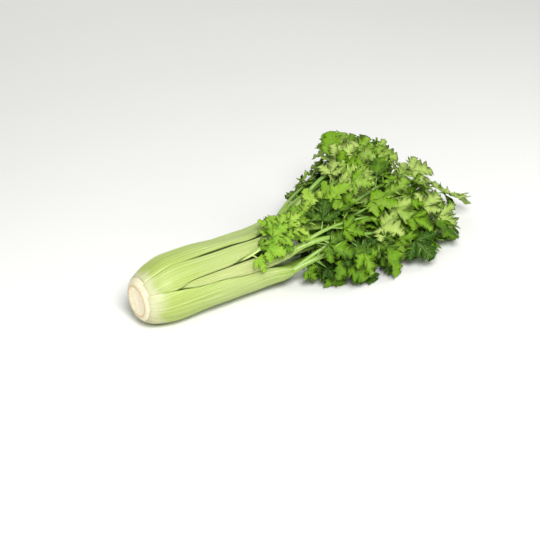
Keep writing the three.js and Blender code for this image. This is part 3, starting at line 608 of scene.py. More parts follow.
def crown_finish(colours):
    """Cut crown: cream, with rays and rings of paler and browner flesh, and a tan rim."""
    recipe = Recipe("crown_flesh", roughness=0.6, subsurface=0.15)
    place = recipe.place()
    middle = (0.0, -LAYOUT_ORIGIN[1], -axis_height(0) * MM)
    parts = recipe.apart(recipe.mapped(place, Location=middle))
    flat = recipe.together(Y=parts["Y"], Z=parts["Z"])
    radius = recipe.add("VectorMath", {0: flat}, operation="LENGTH").outputs["Value"]
    angle = recipe.math("ARCTAN2", parts["Z"], parts["Y"])
    grain = recipe.noise(place, 420, 4.0, 0.6)
    wavy = recipe.math("MULTIPLY_ADD", grain, 0.0026, radius)
    rays = recipe.math("COSINE", recipe.math("MULTIPLY_ADD", grain, 5.0, recipe.times(angle, CROWN_RAYS)))
    rays = recipe.times(recipe.ease(rays, 0.2, 1.0), recipe.ease(radius, 0.002, 0.008))
    rings = recipe.waves(wavy, 1 / (RING_GAP * MM))
    rayed = recipe.mix(recipe.times(rays, 0.22), colours.cut, tone("#e6cf98"))
    ringed = recipe.mix(recipe.ease(rings, 0.5, 1.0, 0.0, 0.15), rayed, tone("#fffbee"))
    tan = recipe.times(recipe.ease(wavy, 0.0154, 0.0172), recipe.ease(wavy, 0.0196, 0.0180))
    outside = faded(colours.base, colours.cut, 0.55)
    bodied = recipe.mix(recipe.ease(wavy, 0.0172, 0.0188), ringed, outside)
    rimmed = recipe.mix(recipe.times(tan, 0.6), bodied, tone("#cba66a"))
    spots = recipe.ease(recipe.noise(place, 900, 2.0), 0.66, 0.74, 0.0, 0.5)
    spotted = recipe.mix(spots, rimmed, tone("#b98c52"))
    relief = recipe.math("ADD", recipe.times(rays, -0.6), grain)
    return recipe.paint(spotted, relief, 0.6, 0.0005)


def leaf_stem_finish(name, near, far):
    """Leaf stems: pale at the joint, greener towards the leaflets, with fine streaks."""
    recipe = Recipe(name, roughness=0.4, coat=0.1, subsurface=0.1, depth=0.0015)
    uv = recipe.own_uv()
    streaks = recipe.noise(recipe.mapped(uv, Scale=(24, 2, 1)), 1.0, 3.0)
    greening = recipe.mix(recipe.ease(recipe.apart(uv)["Y"], 0.0, 0.7), near, far)
    pale = faded(near, tone("#e6efb4"), 0.5)
    streaked = recipe.mix(recipe.ease(streaks, 0.4, 0.7, 0.0, 0.45), greening, pale)
    return recipe.paint(streaked, streaks, 0.3, 0.0002)


def leaf_finish(name, colour, deep, pale_and_painted_sheen):
    """Leaf blade: veins paler than the flesh between them, dull and pale underneath. Its mark mixes it from
    deep green to pale sage: partly its own tone, partly painted shade and painted sheen.
    """
    recipe = Recipe(name, roughness=0.5, subsurface=0.12, depth=0.0012, gloss=0.12)
    place = recipe.place()
    parts = recipe.apart(recipe.own_uv())
    turn, along = parts["X"], parts["Y"]
    across = recipe.times(recipe.math("PINGPONG", turn, 0.5), 2.0)
    off_rib = recipe.math("ABSOLUTE", recipe.math("SUBTRACT", across, 0.5))
    midrib = recipe.ease(off_rib, 0.05, 0.015)
    side_veins = recipe.ease(recipe.waves(along, SIDE_VEINS), 0.78, 1.0)
    side_veins = recipe.times(side_veins, recipe.ease(off_rib, 0.5, 0.1))
    veins = recipe.math("MAXIMUM", midrib, recipe.times(side_veins, 0.7))
    shade = recipe.math("SUBTRACT", recipe.mark(), 0.35)
    patchy = recipe.math("MULTIPLY_ADD", recipe.noise(place, 90, 3.0), 0.7, shade)
    # The deep green is partly painted shade, and the pale sage is partly painted sheen in place of a glossy
    # highlight.
    dark_side = recipe.mix(recipe.ease(patchy, 0.0, 0.5), deep, colour)
    flesh = recipe.mix(recipe.ease(patchy, 0.5, 1.0), dark_side, pale_and_painted_sheen)
    cells = recipe.add("TexVoronoi", {"Vector": place, "Scale": 700}, feature="DISTANCE_TO_EDGE")
    netting = recipe.ease(cells.outputs["Distance"], 0.12, 0.0)
    netted = recipe.mix(recipe.times(netting, 0.15), flesh, pale_and_painted_sheen)
    veined = recipe.mix(recipe.times(veins, 0.14), netted, faded(pale_and_painted_sheen, tone("#cfdc84"), 0.5))
    under = recipe.ease(turn, 0.499, 0.501)
    sided = recipe.mix(recipe.times(under, 0.45), veined, faded(colour, tone("#adc872"), 0.6))
    quilting = recipe.math("SUBTRACT", recipe.times(netting, -0.4), veins)
    return recipe.paint(sided, quilting, 0.5, 0.0003)


def floor_finish(colours):
    """Pale matt floor with the faintest unevenness."""
    recipe = Recipe("floor_paper", roughness=0.85)
    cloud = recipe.noise(recipe.place(), 6, 2.0)
    tinted = recipe.mix(recipe.ease(cloud, 0.3, 0.7, 0.0, 0.06), colours.floor, tone("#e4e4e0"))
    return recipe.paint(tinted)


# ---- Shapes of the stalks ----


def at_row(rows, part):
    """Place along a stalk and how far it is open there, from the part of its rows."""
    return rows[np.rint(part * (len(rows) - 1)).astype(int)].T


def stalk_rows(start, end, count):
    """Places along a stalk and how far open its section is there: shut at both ends."""
    first = [(start + x, opened) for x, opened in END_OPENING]
    last = [(end - x, opened) for x, opened in reversed(END_OPENING)]
    between = count - len(first) - len(last) + 1
    middle = [(x, 1.0) for x in np.linspace(start + OPEN_FROM, end - OPEN_FROM, between)]
    return np.array(first + middle + last)


def outer_radius(stalk, x):
    """How far from the bunch's axis a stalk's outer face lies."""
    if stalk in INNER_STALKS:
        return INNER_RADIUS * slimness(x)
    if stalk is TUCKED_STALK:
        return lerp(TUCKED_RADIUS, BUNCH_RADIUS - TUCKED_LOW, smoothstep(x, *TUCKED_RISE)) * slimness(x)
    return bunch_radius(x)


def stalk_depth(stalk, x):
    """How far a stalk's middle reaches in from its outer face."""
    deep = stalk.get("deep", INNER_DEPTH)
    if stalk is TUCKED_STALK:
        deep = lerp(TUCKED_DEPTH, deep, smoothstep(x, *TUCKED_SWELL))
    return deep * slimness(x)


def crescent(stalk, x, u, inside, rib, rib_height):
    """Radius of a crescent section's face and of its middle. u runs across it and rib counts its ribs."""
    edge = np.abs(2 * u - 1)
    across = np.abs(2 * u ** stalk.get("skew", 1) - 1)
    drop = eased(x, stalk.get("sink", [(0, 0)])) * smoothstep(u, 0, SINK_START)
    edge_drop = lerp(BASE_EDGE_DROP, EDGE_DROP, smoothstep(x, *EDGE_DROP_REACH))
    face = outer_radius(stalk, x) - drop - edge_drop * edge ** 3
    inner = face - (stalk_depth(stalk, x) - drop) * lerp(1, EDGE_DEPTH, across ** 2)
    crown_room = np.where(x > CROWN_DEPTH + CLEARANCE, 0, DISC_RADIUS + CLEARANCE)
    inner = np.minimum(np.maximum(inner, crown_room), face - THIN_EDGE)
    ridge = ridges(rib) * (1 - RIB_CHANGE + RIB_CHANGE * np.sin(9 * u + x * 0.011))
    outer = face + rib_height * ridge * (1 - edge ** 6)
    return np.where(inside, inner, outer), (face + inner) / 2


def at_joint(stalk, u, inside, angle, to_end, opened, ribs, rib_height):
    """Y and z of the oval that a stalk narrows to."""
    wide, high = stalk.get("knuckle", INNER_KNUCKLE)
    shoulder = lerp(SHOULDER_END, 1, smoothstep(to_end, *SHOULDER_REACH))
    turned = math.pi * (0.5 + (u - 0.5) * NARROWING)
    ridge = rib_height * JOINT_RIBS * ridges(ribs * u) * np.where(inside, 0, 1)
    across = -np.cos(turned) * wide * shoulder * lerp(0.5, 1, opened)
    out = np.where(inside, -1, 1) * np.sin(turned) * (high * shoulder + ridge) * opened
    (y, z), a = stalk["joint"], math.radians(angle)
    return y - math.cos(a) * out + math.sin(a) * across, z + math.sin(a) * out + math.cos(a) * across


def ribbed_stalk(stalk, grid, rib_height, finish):
    """A stalk from its base at the crown to the joint where its leaf starts."""
    low, high, end = stalk["low"], stalk["high"], stalk["end"]
    ribs = stalk.get("ribs", INNER_RIBS) * 2
    rows = stalk_rows(stalk.get("start", INNER_START), end, grid[1])
    first_angle, last_angle = low[-1][1], high[-1][1]
    drift = ord(stalk["name"]) * 1.7  # sets the stalks' waves apart

    def across_and_angle(turn, x):
        u = np.where(turn > 0.5, 2 - 2 * turn, 2 * turn)
        return u, lerp(edge_line(x, low), edge_line(x, high), u)

    def rib_count(turn, part):
        _, angle = across_and_angle(turn, at_row(rows, part)[0])
        return ribs * (angle - first_angle) / (last_angle - first_angle)

    def place(turn, part):
        x, opened = at_row(rows, part)
        inside = turn > 0.5
        u, angle = across_and_angle(turn, x)
        edge = np.abs(2 * u - 1)
        radius, middle = crescent(stalk, x, u, inside, rib_count(turn, part), rib_height)
        wander = WANDER * np.sin(x / 19 + 3 * u + drift) + FAST_WANDER * np.sin(x / 7.3 + 6 * u + drift)
        radius = radius + wander * (1 - edge ** 4)
        radius = lerp(radius, middle, np.maximum(1 - opened, edge ** EDGE_TURN))
        middle_angle = (first_angle + last_angle) / 2
        y, z = at_joint(stalk, u, inside, middle_angle, end - x, opened, ribs, rib_height)
        narrowed = smoothstep(x, stalk.get("neck", end - INNER_NECK), end)[:, None]
        points = lerp(bunch_point(x, angle, radius), columns(x, y, z), narrowed)
        points[:, 2] = np.maximum(points[:, 2], 0)
        return points

    bm = bmesh.new()
    skin(bm, grid, place, mark=rib_count)
    finished(bm, f"stalk_{stalk['name']}_ribbed", [finish], "stalk", f"stalk_{stalk['name']}")


def heart_stalk(stalk, grid, finish):
    """A slim round stalk of the heart."""
    rows = stalk_rows(INNER_START, stalk["end"], grid[1])

    def place(turn, part):
        x, opened = at_row(rows, part)
        centre = bunch_point(x, stalk["angle"], HEART_RADIUS * slimness(x))
        narrowed = smoothstep(x, stalk["end"] - HEART_NECK, stalk["end"])
        a = 2 * math.pi * turn
        ribbed = 1 + HEART_RIB_HEIGHT * np.cos(HEART_RIBS * a)
        wide = lerp(HEART_THICK, HEART_THIN, narrowed) * ribbed * opened
        y = lerp(centre[:, 1], stalk["joint"][0], narrowed)
        z = lerp(centre[:, 2], stalk["joint"][1], narrowed)
        return columns(x, y - wide * np.cos(a), z + wide * np.sin(a))

    bm = bmesh.new()
    skin(bm, grid, place, mark=lambda turn, part: HEART_RIBS * np.abs(turn - 0.5))
    finished(bm, f"stalk_{stalk['name']}_slim", [finish], "heart_stalk", f"stalk_{stalk['name']}")


# ---- Where leaf stems and leaflets go ----


class Draws:
    """Even draws, always the same for the same seed."""

    def __init__(self, seed):
        self.state = seed * 7919 + 101

    def __call__(self, low, high):
        self.state = self.state * 16807 % 2147483647
        return low + (high - low) * (self.state / 2147483647)


def curve_point(curve, t):
    p, q, r, s = curve
    t = np.asarray(t, float)[..., None]
    k = 1 - t
    return p * (k * k * k) + q * (3 * k * k * t) + r * (3 * k * t * t) + s * (t * t * t)


def curve_direction(curve, t):
    p, q, r, s = curve
    t = np.asarray(t, float)[..., None]
    k = 1 - t
    return unit((q - p) * (k * k) + (r - q) * (2 * k * t) + (s - r) * (t * t))


def turned_about(v, axis, angle):
    """A direction turned about an axis, both of length 1."""
    return (v * math.cos(angle) + np.cross(axis, v) * math.sin(angle)
            + axis * np.dot(axis, v) * (1 - math.cos(angle)))


def resting_height(z):
    """Height of a leaf's point once the table holds it up."""
    floor = TABLE_GAP + BLADE_RIB
    over = z - floor - TABLE_EASE
    return np.where(over > 0, z, floor + TABLE_EASE * np.exp(np.minimum(over, 0) / TABLE_EASE))


def blade_rise(blade, across, along_rib):
    """How far a blade's keel, bow and waves lift a point of it off its plane."""
    out = np.abs(across)
    ripple = np.sin(8 * along_rib + blade["phase"] + np.where(across > 0, 0, 1.4))
    return blade["keel"] * out - blade["bow"] * along_rib * along_rib + blade["wave"] * ripple * out


def blade_point(blade, across, along_rib, lift, extra_rise=0.0):
    """Point of a blade, lifted off its middle surface."""
    size = blade["size"]
    rise = blade_rise(blade, across, along_rib) + extra_rise
    point = (blade["foot"] + blade["side"] * (size * across)[:, None]
             + blade["rib"] * (size * along_rib)[:, None] + blade["face"] * (size * rise)[:, None])
    z = point[:, 2]
    rested = resting_height(z)
    held = np.where(rested > z, np.minimum(1, (rested - z) / TABLE_EASE), 0)[:, None]
    point[:, 2] = rested
    upright = np.array([0, 0, -1.0 if blade["face"][2] < 0 else 1.0])
    normal = unit(lerp(blade["face"], upright, held))
    return point + normal * np.broadcast_to(lift, z.shape)[:, None]


taken = {}  # the stem or blade that has each cell


def cells(points):
    """The cells that points lie in."""
    return map(tuple, np.floor(points / CELL).astype(int).tolist())


def claim(points, owner):
    for cell in cells(points):
        taken[cell] = owner


def crowding(points, *owners):
    """Part of the points' cells that another stem or blade has."""
    wanted = set(cells(points))
    return sum(taken.get(cell) not in (None, *owners) for cell in wanted) / len(wanted)


def inside_bunch(points):
    x, y, z = points.T
    reach = bunch_radius(np.maximum(x, 1)) + BUNCH_ROOM - np.maximum(0, x - BUNCH_OPENS) * OPENING_SLOPE
    return bool(np.any(np.hypot(y, z - axis_height(x)) < reach))


def outside_box(points):
    low, high = LAYOUT_BOX
    return bool(np.any(points < low - BOX_MARGIN) or np.any(points > high + BOX_MARGIN))


def above_slope(points):
    return bool(np.any(points @ np.array(SLOPE_WAY) > SLOPE_REACH))


def clear_front(leaf, part):
    """Keeps the air free in front of part of a leaf's stem."""
    middle = curve_point(leaf["curve"], np.linspace(0, part, 80))
    for away in np.arange(*CLEAR_REACH, CELL * 0.8):
        for cell in cells(middle + np.array(FRONT) * away):
            taken.setdefault(cell, "clear")


def stem_samples(curve, start, radius, face):
    """Points along a stem's middle and along its four sides."""
    count = math.ceil(np.linalg.norm(curve[0] - curve[3]) / STEM_STEP)
    t = lerp(start, 1, np.arange(count + 1) / count)
    middle = curve_point(curve, t)
    side = unit(np.cross(curve_direction(curve, t), face))
    return np.concatenate([middle, middle + side * radius, middle - side * radius,
                           middle + face * radius, middle - face * radius])


def blade_samples(blade):
    """Points all over a blade, with its teeth filled in."""
    spread = TRIPLE_SPREAD if blade["triple"] else SINGLE_SPREAD
    rows = math.ceil(blade["size"] / BLADE_STEP)
    across, along_rib = [], []
    for i in range(rows + 1):
        place = lerp(spread[0][0] + 0.08, spread[-1][0], i / rows)
        after = next(k for k, (entry, _) in enumerate(spread) if entry >= place - 1e-9)
        (before_at, narrow), (after_at, wide) = spread[after - 1], spread[after]
        half = lerp(narrow, wide, (place - before_at) / (after_at - before_at))
        steps = math.ceil(half * blade["size"] / BLADE_STEP)
        for j in range(-steps, steps + 1):
            across.append(half * j / steps)
            along_rib.append(place)
    return blade_point(blade, np.array(across), np.array(along_rib), 0.0)


def make_blade(foot, ahead, facing, size, triple, draw):
    """A blade that goes on ahead from its foot, with its tilt, size and bends drawn."""
    ranges = BLADE_DRAWS
    rib = unit(ahead + np.array([0, 0, draw(*ranges["dip"])]))
    turned = turned_about(facing, rib, draw(*ranges["roll"]))
    side = unit(np.cross(rib, turned))
    drawn = {name: draw(*ranges[name]) for name in ("size", "bow", "keel", "wave", "phase")}
    drawn["size"] = size * drawn["size"]
    return dict(drawn, foot=foot, rib=rib, side=side, face=np.cross(side, rib), triple=triple)


def side_curve(start, ahead, length, droop):
    """A curve that leaves a point one way and ends by drooping."""
    return [start, *(start + ahead * (length * part) + np.array([0, 0, -drop * length])
                     for part, drop in ((0.35, 0), (0.7, droop * 0.3), (1, droop)))]


def stem_at(leaf, along, hand):
    """Point on a leaf's stem, the way that it goes there, and the way to one side of it."""
    ahead = curve_direction(leaf["curve"], along)
    return curve_point(leaf["curve"], along), ahead, unit(np.cross(ahead, leaf["facing"])) * hand


def place_side_stem(leaf, seed, spec, hand):
    """Tries places for one side stem and its blade until they cross nothing."""
    start, ahead, across = stem_at(leaf, lerp(leaf["bare"], 1, spec.at), hand)
    name, facing, ranges = leaf["name"], leaf["facing"], SIDE_DRAWS
    owner = f"{name}{seed}"
    for attempt in range(TRIES):
        draw = Draws(seed * 31 + attempt)
        scale = leaf["size"] * lerp(1, SIDE_SMALLEST, attempt / TRIES)
        angle, lift = draw(*ranges["angle"]), draw(*ranges["lift"])
        way = unit(ahead * math.cos(angle) + across * math.sin(angle) + facing * lift)
        curve = side_curve(start, way, scale * spec.reach * draw(*ranges["length"]), draw(*ranges["droop"]))
        end = curve_direction(curve, 1.0)
        blade = make_blade(curve[3], end, facing, scale * spec.blade, spec.triple, draw)
        stem_points = stem_samples(curve, 0.2, 1, facing)
        blade_points = blade_samples(blade)
        crossing = crowding(stem_points, name) or crowding(blade_points, owner)
        if crossing or inside_bunch(blade_points):
            continue
        claim(stem_points, name)
        claim(blade_points, owner)
        leaf["sides"].append((curve, blade))
        return


def place_filling(leaf, seed, spec, hand):
    """Tries places for a filling leaflet on any side of a stem, more bent than the large ones."""
    owner = f"{leaf['name']}f{seed}"
    ranges = FILLING_DRAWS
    for attempt in range(TRIES):
        draw = Draws(seed * 53 + attempt)
        at = lerp(leaf["filled"], 1, spec.at + draw(*ranges["slide"]))
        start, ahead, across = stem_at(leaf, at, hand)
        scale = leaf["size"] * lerp(1, FILLING_SMALLEST, attempt / TRIES)
        angle, roll = draw(*ranges["angle"]), draw(*leaf["rolls"])
        round_stem = across * math.cos(roll) + leaf["facing"] * math.sin(roll)
        way = unit(ahead * math.cos(angle) + round_stem * math.sin(angle))
        curve = side_curve(start, way, scale * spec.reach * draw(*ranges["length"]), draw(*ranges["droop"]))
        end = curve_direction(curve, 1.0)
        facing = unit(leaf["facing"] + round_stem * draw(*ranges["turn"]))
        blade = make_blade(curve[3], end, facing, scale * spec.blade, spec.triple, draw)
        blade["bow"] = draw(*ranges["bow"])
        blade["keel"] = draw(*ranges["keel"])
        points = blade_samples(blade)
        if crowding(points, owner) > FILLING_CROWD:
            continue
        if inside_bunch(points) or outside_box(points) or above_slope(points):
            continue
        claim(points, owner)
        leaf["filling"].append((curve, blade))
        return


def place_end_blade(leaf):
    """The blade at the end of a leaf's stem, turned until it crosses nothing."""
    ahead = curve_direction(leaf["curve"], 1.0)
    start = curve_point(leaf["curve"], 0.97)
    curve = side_curve(start, ahead, np.linalg.norm(start - leaf["curve"][3]), 0)
    owner = f"{leaf['name']}0"
    for attempt in range(TRIES):
        draw = Draws(leaf["order"] * 97 + attempt)
        blade = make_blade(leaf["curve"][3], ahead, leaf["facing"], leaf["size"], True, draw)
        samples = blade_samples(blade)
        if crowding(samples, owner, leaf["name"]) == 0:
            break
    claim(samples, owner)
    leaf["sides"].append((curve, blade))


def plan_leaves(entries, first_order, thick, collar):
    stalks = {stalk["name"]: stalk for stalk in [*OUTER_STALKS, TUCKED_STALK, *INNER_STALKS, *HEART_STALKS]}
    plans = []
    for order, entry in enumerate(entries, first_order):
        stalk = stalks[entry.name]
        start = (stalk["end"] + CLEARANCE, *stalk["joint"])
        plans.append(dict(
            name=entry.name, order=order, size=entry.size, thick=thick, collar=collar,
            curve=[np.array(point, float) for point in (start, *entry.bend, entry.tip)],
            facing=unit(np.array(entry.face, float)), bare=entry.bare,
            filled=entry.bare if entry.filled is None else entry.filled,
            rolls=STEM_SEEN if entry.name in SEEN_STEMS else STEM_HIDDEN,
            sides=[], filling=[], branches=[]))
    return plans


def branch_of(leaf, hand):
    """A second stem that leaves the joint beside the leaf's own, and bears filling leaflets."""
    p, q, r, _ = leaf["curve"]
    side, facing = stem_at(leaf, 0.3, hand)[2], leaf["facing"]
    end = curve_point(leaf["curve"], 0.78)
    draw = Draws(leaf["order"] * 61 + hand + 5)
    apart, up = draw(*BRANCH_APART), draw(*BRANCH_UP)
    curve = [p, q + side * 5 + facing * 3, lerp(q, r, 0.7) + side * apart * 0.7 + facing * up,
             end + side * apart + facing * up * 0.6]
    return dict(leaf, curve=curve, order=leaf["order"] + BRANCH_ORDER, size=leaf["size"] * BRANCH_SIZE,
                filled=max(leaf["filled"], BRANCH_BARE))


def place_round(place, leaves, stems, level):
    """One pair of side stems or filling leaflets on every leaf or branch."""
    for leaf in leaves:
        for hand in (-1, 1):
            place(leaf, leaf["order"] * 100 + level * 10 + hand + 2, stems[level], hand)


def laid_out_leaves(filling):
    """Every leaf with its side stems and blades, the large ones first, then rounds of small ones."""
    taken.clear()
    outer = plan_leaves(LEAVES, FIRST_ORDER, STEM_THICK, STEM_COLLAR)
    heart = plan_leaves(HEART_LEAVES, FIRST_HEART_ORDER, HEART_STEM_THICK, HEART_STEM_COLLAR)
    for leaf in outer + heart:
        claim(stem_samples(leaf["curve"], 0, leaf["thick"] * 0.7, leaf["facing"]), leaf["name"])
    for leaf in outer + heart:
        place_end_blade(leaf)
    for level in range(len(SIDE_STEMS)):
        place_round(place_side_stem, outer, SIDE_STEMS, level)
        place_round(place_side_stem, heart, HEART_SIDE_STEMS, level)
    for leaf in outer:
        clear_front(leaf, CLEAR_STEMS.get(leaf["name"], 0))
    branches = []
    for leaf in outer:
        branch = branch_of(leaf, BRANCH_HANDS[leaf["name"]])
        clear_front(branch, CLEAR_BRANCHES.get(leaf["name"], 0))
        leaf["branches"].append(branch["curve"])
        branches.append(branch)
    for level in range(filling):
        for leaves, rounds in ((outer, filling), (branches, BRANCH_FILLING), (heart, HEART_FILLING)):
            if level < rounds:
                place_round(place_filling, leaves, FILLING_STEMS, level)
    return outer + heart


# ---- Shapes of the leaf stems and leaflets ----


def stem_skin(bm, grid, curve, thick, thin, face, collar=0.0):
    """A tapering leaf stem with fine ridges and a groove along its upper side."""

    def place(turn, part):
        part = np.clip(part, 0, 1)
        centre, ahead = curve_point(curve, part), curve_direction(curve, part)
        side = unit(np.cross(ahead, face))
        up = np.cross(side, ahead)
        radius = lerp(thick, thin, part ** 0.6) + collar * np.exp(-22 * part)
        a = 2 * math.pi * turn
        from_top = np.abs((turn + 0.5) % 1 - 0.5)
        groove = STEM_GROOVE * np.exp(-(from_top * GROOVE_SHARPNESS) ** 2)
        shut = (part < TINY) | (part > 1 - TINY)
        shaped = radius * np.where(shut, 0, 1 + STEM_RIDGE * np.cos(STEM_RIDGES * a) - groove)
        centre[:, 2] = np.maximum(centre[:, 2], radius + TABLE_GAP)
        return centre + up * (shaped * np.cos(a))[:, None] + side * (shaped * np.sin(a))[:, None]

    skin(bm, grid, place, looks=1)


def leaflet_skin(bm, grid, blade, leaflet, thickness, shade):
    """One lobed and toothed leaflet: a lens-thin skin with a row of points at each of its lobes' stops."""
    lobes, angle, length, wide, lift = leaflet
    ahead, aside = math.cos(math.radians(angle)), math.sin(math.radians(angle))
    stops, widths = np.transpose(lobes)

    def place(turn, row):
        u = np.where(turn > 0.5, 1 - turn, turn) * 4 - 1
        out = np.abs(u)
        step = row * (len(stops) - 1)
        part, half = (np.interp(step, range(len(stops)), values) for values in (stops, widths))
        notch = np.abs(np.sin(math.pi * step)) * smoothstep(part, 0.08, 0.2)
        half = half * wide * (1 - TOOTH_DEPTH * notch * out ** 2)
        forward, over = part + LOBE_SLANT * half * out, half * u
        across = length * (aside * forward + ahead * over)
        along_rib = length * (ahead * forward - aside * over)
        vein = np.cos(math.pi * SIDE_VEINS * part)
        pucker = PUCKER * vein * (1 - out) * smoothstep(part, 0, 0.2)
        edge_rise = EDGE_RISE * (out ** 2)
        ruffle = np.sin(17 * part + 2 * blade["phase"] + np.where(u > 0, 0, 2.0))
        ruffle = RUFFLE * ruffle * out ** 2 * half / 0.3
        bumps = (pucker + edge_rise) * smoothstep(part, 1, 0.9)
        raised = (bumps + ruffle + CREASE * half * out) * length + lift * smoothstep(part, 0, 0.5)
        side = np.where(turn > 0.5, -1, 1)
        at_end = (part < TINY) | (part > 1 - TINY)
        thick = thickness / 2 * side * (1 - out ** 2) * np.where(at_end, 0, 1)
        return blade_point(blade, across, along_rib, thick, raised)

    skin(bm, grid, place, mark=shade)


def blade_skin(bm, grid, blade, thickness, shade, draw):
    """A single leaflet, or three that share a foot."""
    if not blade["triple"]:
        leaflet_skin(bm, grid, blade, SINGLE_LEAFLET, thickness, shade)
        return
    leaflet_skin(bm, grid, blade, CENTRE_LEAFLET, thickness, shade)
    for leaflet in SIDE_LEAFLETS:
        leaflet_skin(bm, grid, blade, leaflet, thickness, shade + draw(*SHADE_CHANGE))


def leafy_piece(leaf, thickness, materials, slot):
    """Everything on one stalk past its joint, in one piece."""
    bm = bmesh.new()
    draw = Draws(leaf["order"] * 13 + 5)
    curve, facing = leaf["curve"], leaf["facing"]
    start = curve[0] - curve_direction(curve, 0.0) * STEM_SUNK
    stem_skin(bm, STEM_GRID, [start, *curve[1:]], leaf["thick"], STEM_TIP, facing, leaf["collar"])
    for branch in leaf["branches"]:
        stem_skin(bm, BRANCH_GRID, branch, BRANCH_THICK, BRANCH_TIP, facing)
    sides = [(*side, SIDE_STEM_THICK, LARGE_GRID) for side in leaf["sides"]]
    sides += [(*side, FILLING_STEM_THICK, FILLING_GRID) for side in leaf["filling"]]
    for curve, blade, thick, grid in sides:
        start = curve[0] - curve_direction(curve, 0.0) * SIDE_STEM_SUNK
        stem_skin(bm, SIDE_STEM_GRID, [start, *curve[1:]], thick, SIDE_STEM_TIP, facing)
        # A leaflet's tone is drawn in its leaf's range, which also paints sheen onto leaf a and shade onto
        # leaves c, d and g.
        shade = draw(*LEAF_TONES_AND_PAINTED_LIGHT.get(leaf["name"], OTHER_SHADES))
        blade_skin(bm, grid, blade, thickness, shade, draw)
    finished(bm, f"leaf_{leaf['name']}_spray", materials, slot, f"leaf_{leaf['name']}")


# ---- Operators ----


class CELERY_OT_crown(bpy.types.Operator):
    """Build the cut crown that the stalks grow from"""

    bl_idname = "celery.crown"
    bl_label = "Crown"

    def execute(self, context):
        bm = bmesh.new()

        def place(turn, part):
            stops, depths, radii = np.transpose(CROWN_PROFILE)
            a = 2 * math.pi * turn
            radius = np.interp(part, stops, radii)
            lumpy = 1 + 0.012 * np.sin(3 * a + 1) + 0.008 * np.sin(7 * a + 2)
            ray = RAY_HEIGHT * np.cos(CROWN_RAYS * a + 2 * np.sin(3 * a)) * np.interp(part, *RAYS_SEEN)
            ring = RING_HEIGHT * np.cos(2 * math.pi * radius / RING_GAP) * (part < RINGS_END)
            wrinkle = np.cos(WRINKLES * a + 3 * np.sin(2 * a)) * np.interp(part, *WRINKLES_SEEN)
            reach = radius * lumpy + WRINKLE_HEIGHT * wrinkle
            depth = np.interp(part, stops, depths) + np.maximum(ray + ring, -RELIEF_DEPTH)
            height = axis_height(np.maximum(depth, 0))
            return columns(depth + CROWN_SET_BACK, -reach * np.cos(a), height + reach * np.sin(a))

        skin(bm, CROWN_GRID, place)
        finished(bm, "crown_cut", [crown_finish(context.scene.celery.colours)], "crown", "crown")
        return {"FINISHED"}


class CELERY_OT_outer_stalks(bpy.types.Operator):
    """Build the wide ribbed stalks round the outside, and the one tucked between them"""

    bl_idname = "celery.outer_stalks"
    bl_label = "Outer stalks"

    def execute(self, context):
        colours, sizes = context.scene.celery.colours, context.scene.celery.sizes
        for stalk in [*OUTER_STALKS, TUCKED_STALK]:
            finish = stalk_finish(
                f"stalk_{stalk['name']}_skin", colours, stalk["green"], stalk.get("white", 1))
            ribbed_stalk(stalk, OUTER_GRID, sizes.rib_height / MM, finish)
        return {"FINISHED"}


class CELERY_OT_inner_stalks(bpy.types.Operator):
    """Build the stalks inside the outer ones, and the slim ones of the heart"""

    bl_idname = "celery.inner_stalks"
    bl_label = "Inner and heart stalks"

    def execute(self, context):
        colours, sizes = context.scene.celery.colours, context.scene.celery.sizes
        finish = stalk_finish("inner_stalk_skin", colours, INNER_GREEN)
        for stalk in INNER_STALKS:
            ribbed_stalk(stalk, INNER_GRID, sizes.rib_height / MM, finish)
        finish = stalk_finish("heart_stalk_skin", colours, HEART_GREEN)
        for stalk in HEART_STALKS:
            heart_stalk(stalk, HEART_GRID, finish)
        return {"FINISHED"}


class CELERY_OT_leaves(bpy.types.Operator):
    """Build the leaf on each stalk, with its side stems and toothed leaflets"""

    bl_idname = "celery.leaves"
    bl_label = "Leaves"

    def execute(self, context):
        colours, sizes = context.scene.celery.colours, context.scene.celery.sizes
        # The deep and pale colours of the blades are partly their own tones and partly painted shade and
        # painted sheen.
        leaf_looks = [leaf_finish("leaf_blade", colours.leaf, tone("#1e4a02"), tone("#a6be62")),
                      leaf_stem_finish("leaf_stem", colours.joint, tone("#6f9f30"))]
        heart_looks = [leaf_finish("heart_leaf_blade", colours.heart_leaf, tone("#4c8412"), tone("#acca56")),
                       leaf_stem_finish("heart_leaf_stem", tone("#cfe08c"), tone("#9cc058"))]
        for leaf in laid_out_leaves(sizes.filling):
            in_heart = leaf["order"] >= FIRST_HEART_ORDER
            looks, slot = (heart_looks, "heart_leaf") if in_heart else (leaf_looks, "leaf")
            leafy_piece(leaf, sizes.blade_thickness / MM, looks, slot)
        return {"FINISHED"}


def aimed(name, data, place, way):
    """An object with a camera's or a lamp's data, at a place and looking one way."""
    made = bpy.data.objects.new(name, data)
    made.location = place
    made.rotation_mode = "QUATERNION"
    made.rotation_quaternion = way.to_track_quat("-Z", "Y")
    bpy.context.scene.collection.objects.link(made)
    return made


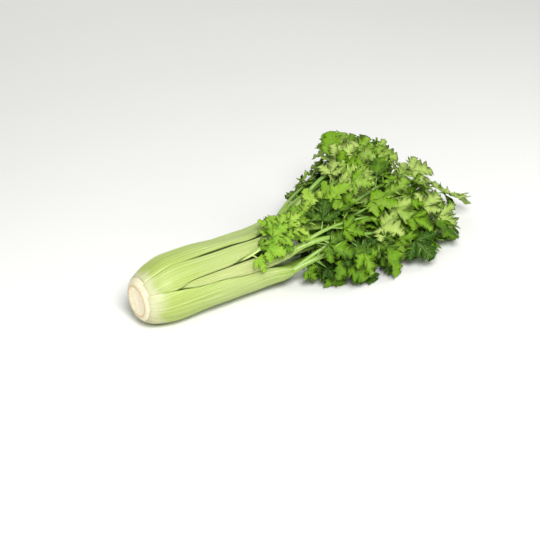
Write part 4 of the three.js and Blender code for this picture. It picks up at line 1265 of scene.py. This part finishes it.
class CELERY_OT_stage(bpy.types.Operator):
    """Set the floor, the soft lights and the camera"""

    bl_idname = "celery.stage"
    bl_label = "Stage"

    def execute(self, context):
        scene = context.scene
        bm = bmesh.new()
        bmesh.ops.create_grid(bm, x_segments=1, y_segments=1, size=FLOOR_SIZE)
        mesh = bpy.data.meshes.new("floor")
        bm.to_mesh(mesh)
        bm.free()
        mesh.materials.append(floor_finish(scene.celery.colours))
        floor = bpy.data.objects.new("floor", mesh)
        scene.collection.objects.link(floor)

        target = Vector(in_frame(np.array(VIEW_TARGET)).tolist())
        azimuth, elevation = math.radians(VIEW_AZIMUTH), math.radians(VIEW_ELEVATION)
        back = Vector((math.sin(azimuth) * math.cos(elevation), -math.cos(azimuth) * math.cos(elevation),
                       math.sin(elevation)))
        lens = bpy.data.cameras.new("camera")
        lens.lens = LENS_LENGTH
        lens.shift_x, lens.shift_y = LENS_SHIFT
        scene.camera = aimed("camera", lens, target + back * VIEW_DISTANCE, -back)

        for name, place, size, power in LIGHTS:
            light = bpy.data.lights.new(name, "AREA")
            light.shape = "DISK"
            light.size = size
            light.energy = power
            aimed(name, light, place, -Vector(place))
        world = bpy.data.worlds.new("studio")
        world.use_nodes = True
        sky = world.node_tree.nodes["Background"]
        sky.inputs["Color"].default_value = SKY_COLOUR
        sky.inputs["Strength"].default_value = SKY_STRENGTH
        scene.world = world
        scene.view_settings.view_transform = "Standard"
        return {"FINISHED"}


class CELERY_PT_panel(bpy.types.Panel):
    bl_label = "Head of Celery"
    bl_idname = "CELERY_PT_panel"
    bl_space_type = "VIEW_3D"
    bl_region_type = "UI"
    bl_category = "Celery"

    def draw(self, context):
        for group in (context.scene.celery.sizes, context.scene.celery.colours):
            box = self.layout.box()
            for name in group.__annotations__:
                box.prop(group, name)
        for operator in OPERATORS:
            self.layout.operator(operator.bl_idname)


OPERATORS = (
    CELERY_OT_stage,
    CELERY_OT_crown,
    CELERY_OT_outer_stalks,
    CELERY_OT_inner_stalks,
    CELERY_OT_leaves,
)
CLASSES = (CelerySizes, CeleryColours, CeleryHead, *OPERATORS, CELERY_PT_panel)


def register():
    for cls in CLASSES:
        bpy.utils.register_class(cls)
    bpy.types.Scene.celery = PointerProperty(type=CeleryHead)


def unregister():
    del bpy.types.Scene.celery
    for cls in reversed(CLASSES):
        bpy.utils.unregister_class(cls)


def main():
    register()
    bpy.ops.celery.stage()
    bpy.ops.celery.crown()
    bpy.ops.celery.outer_stalks()
    bpy.ops.celery.inner_stalks()
    bpy.ops.celery.leaves()


if __name__ == "__main__":
    main()
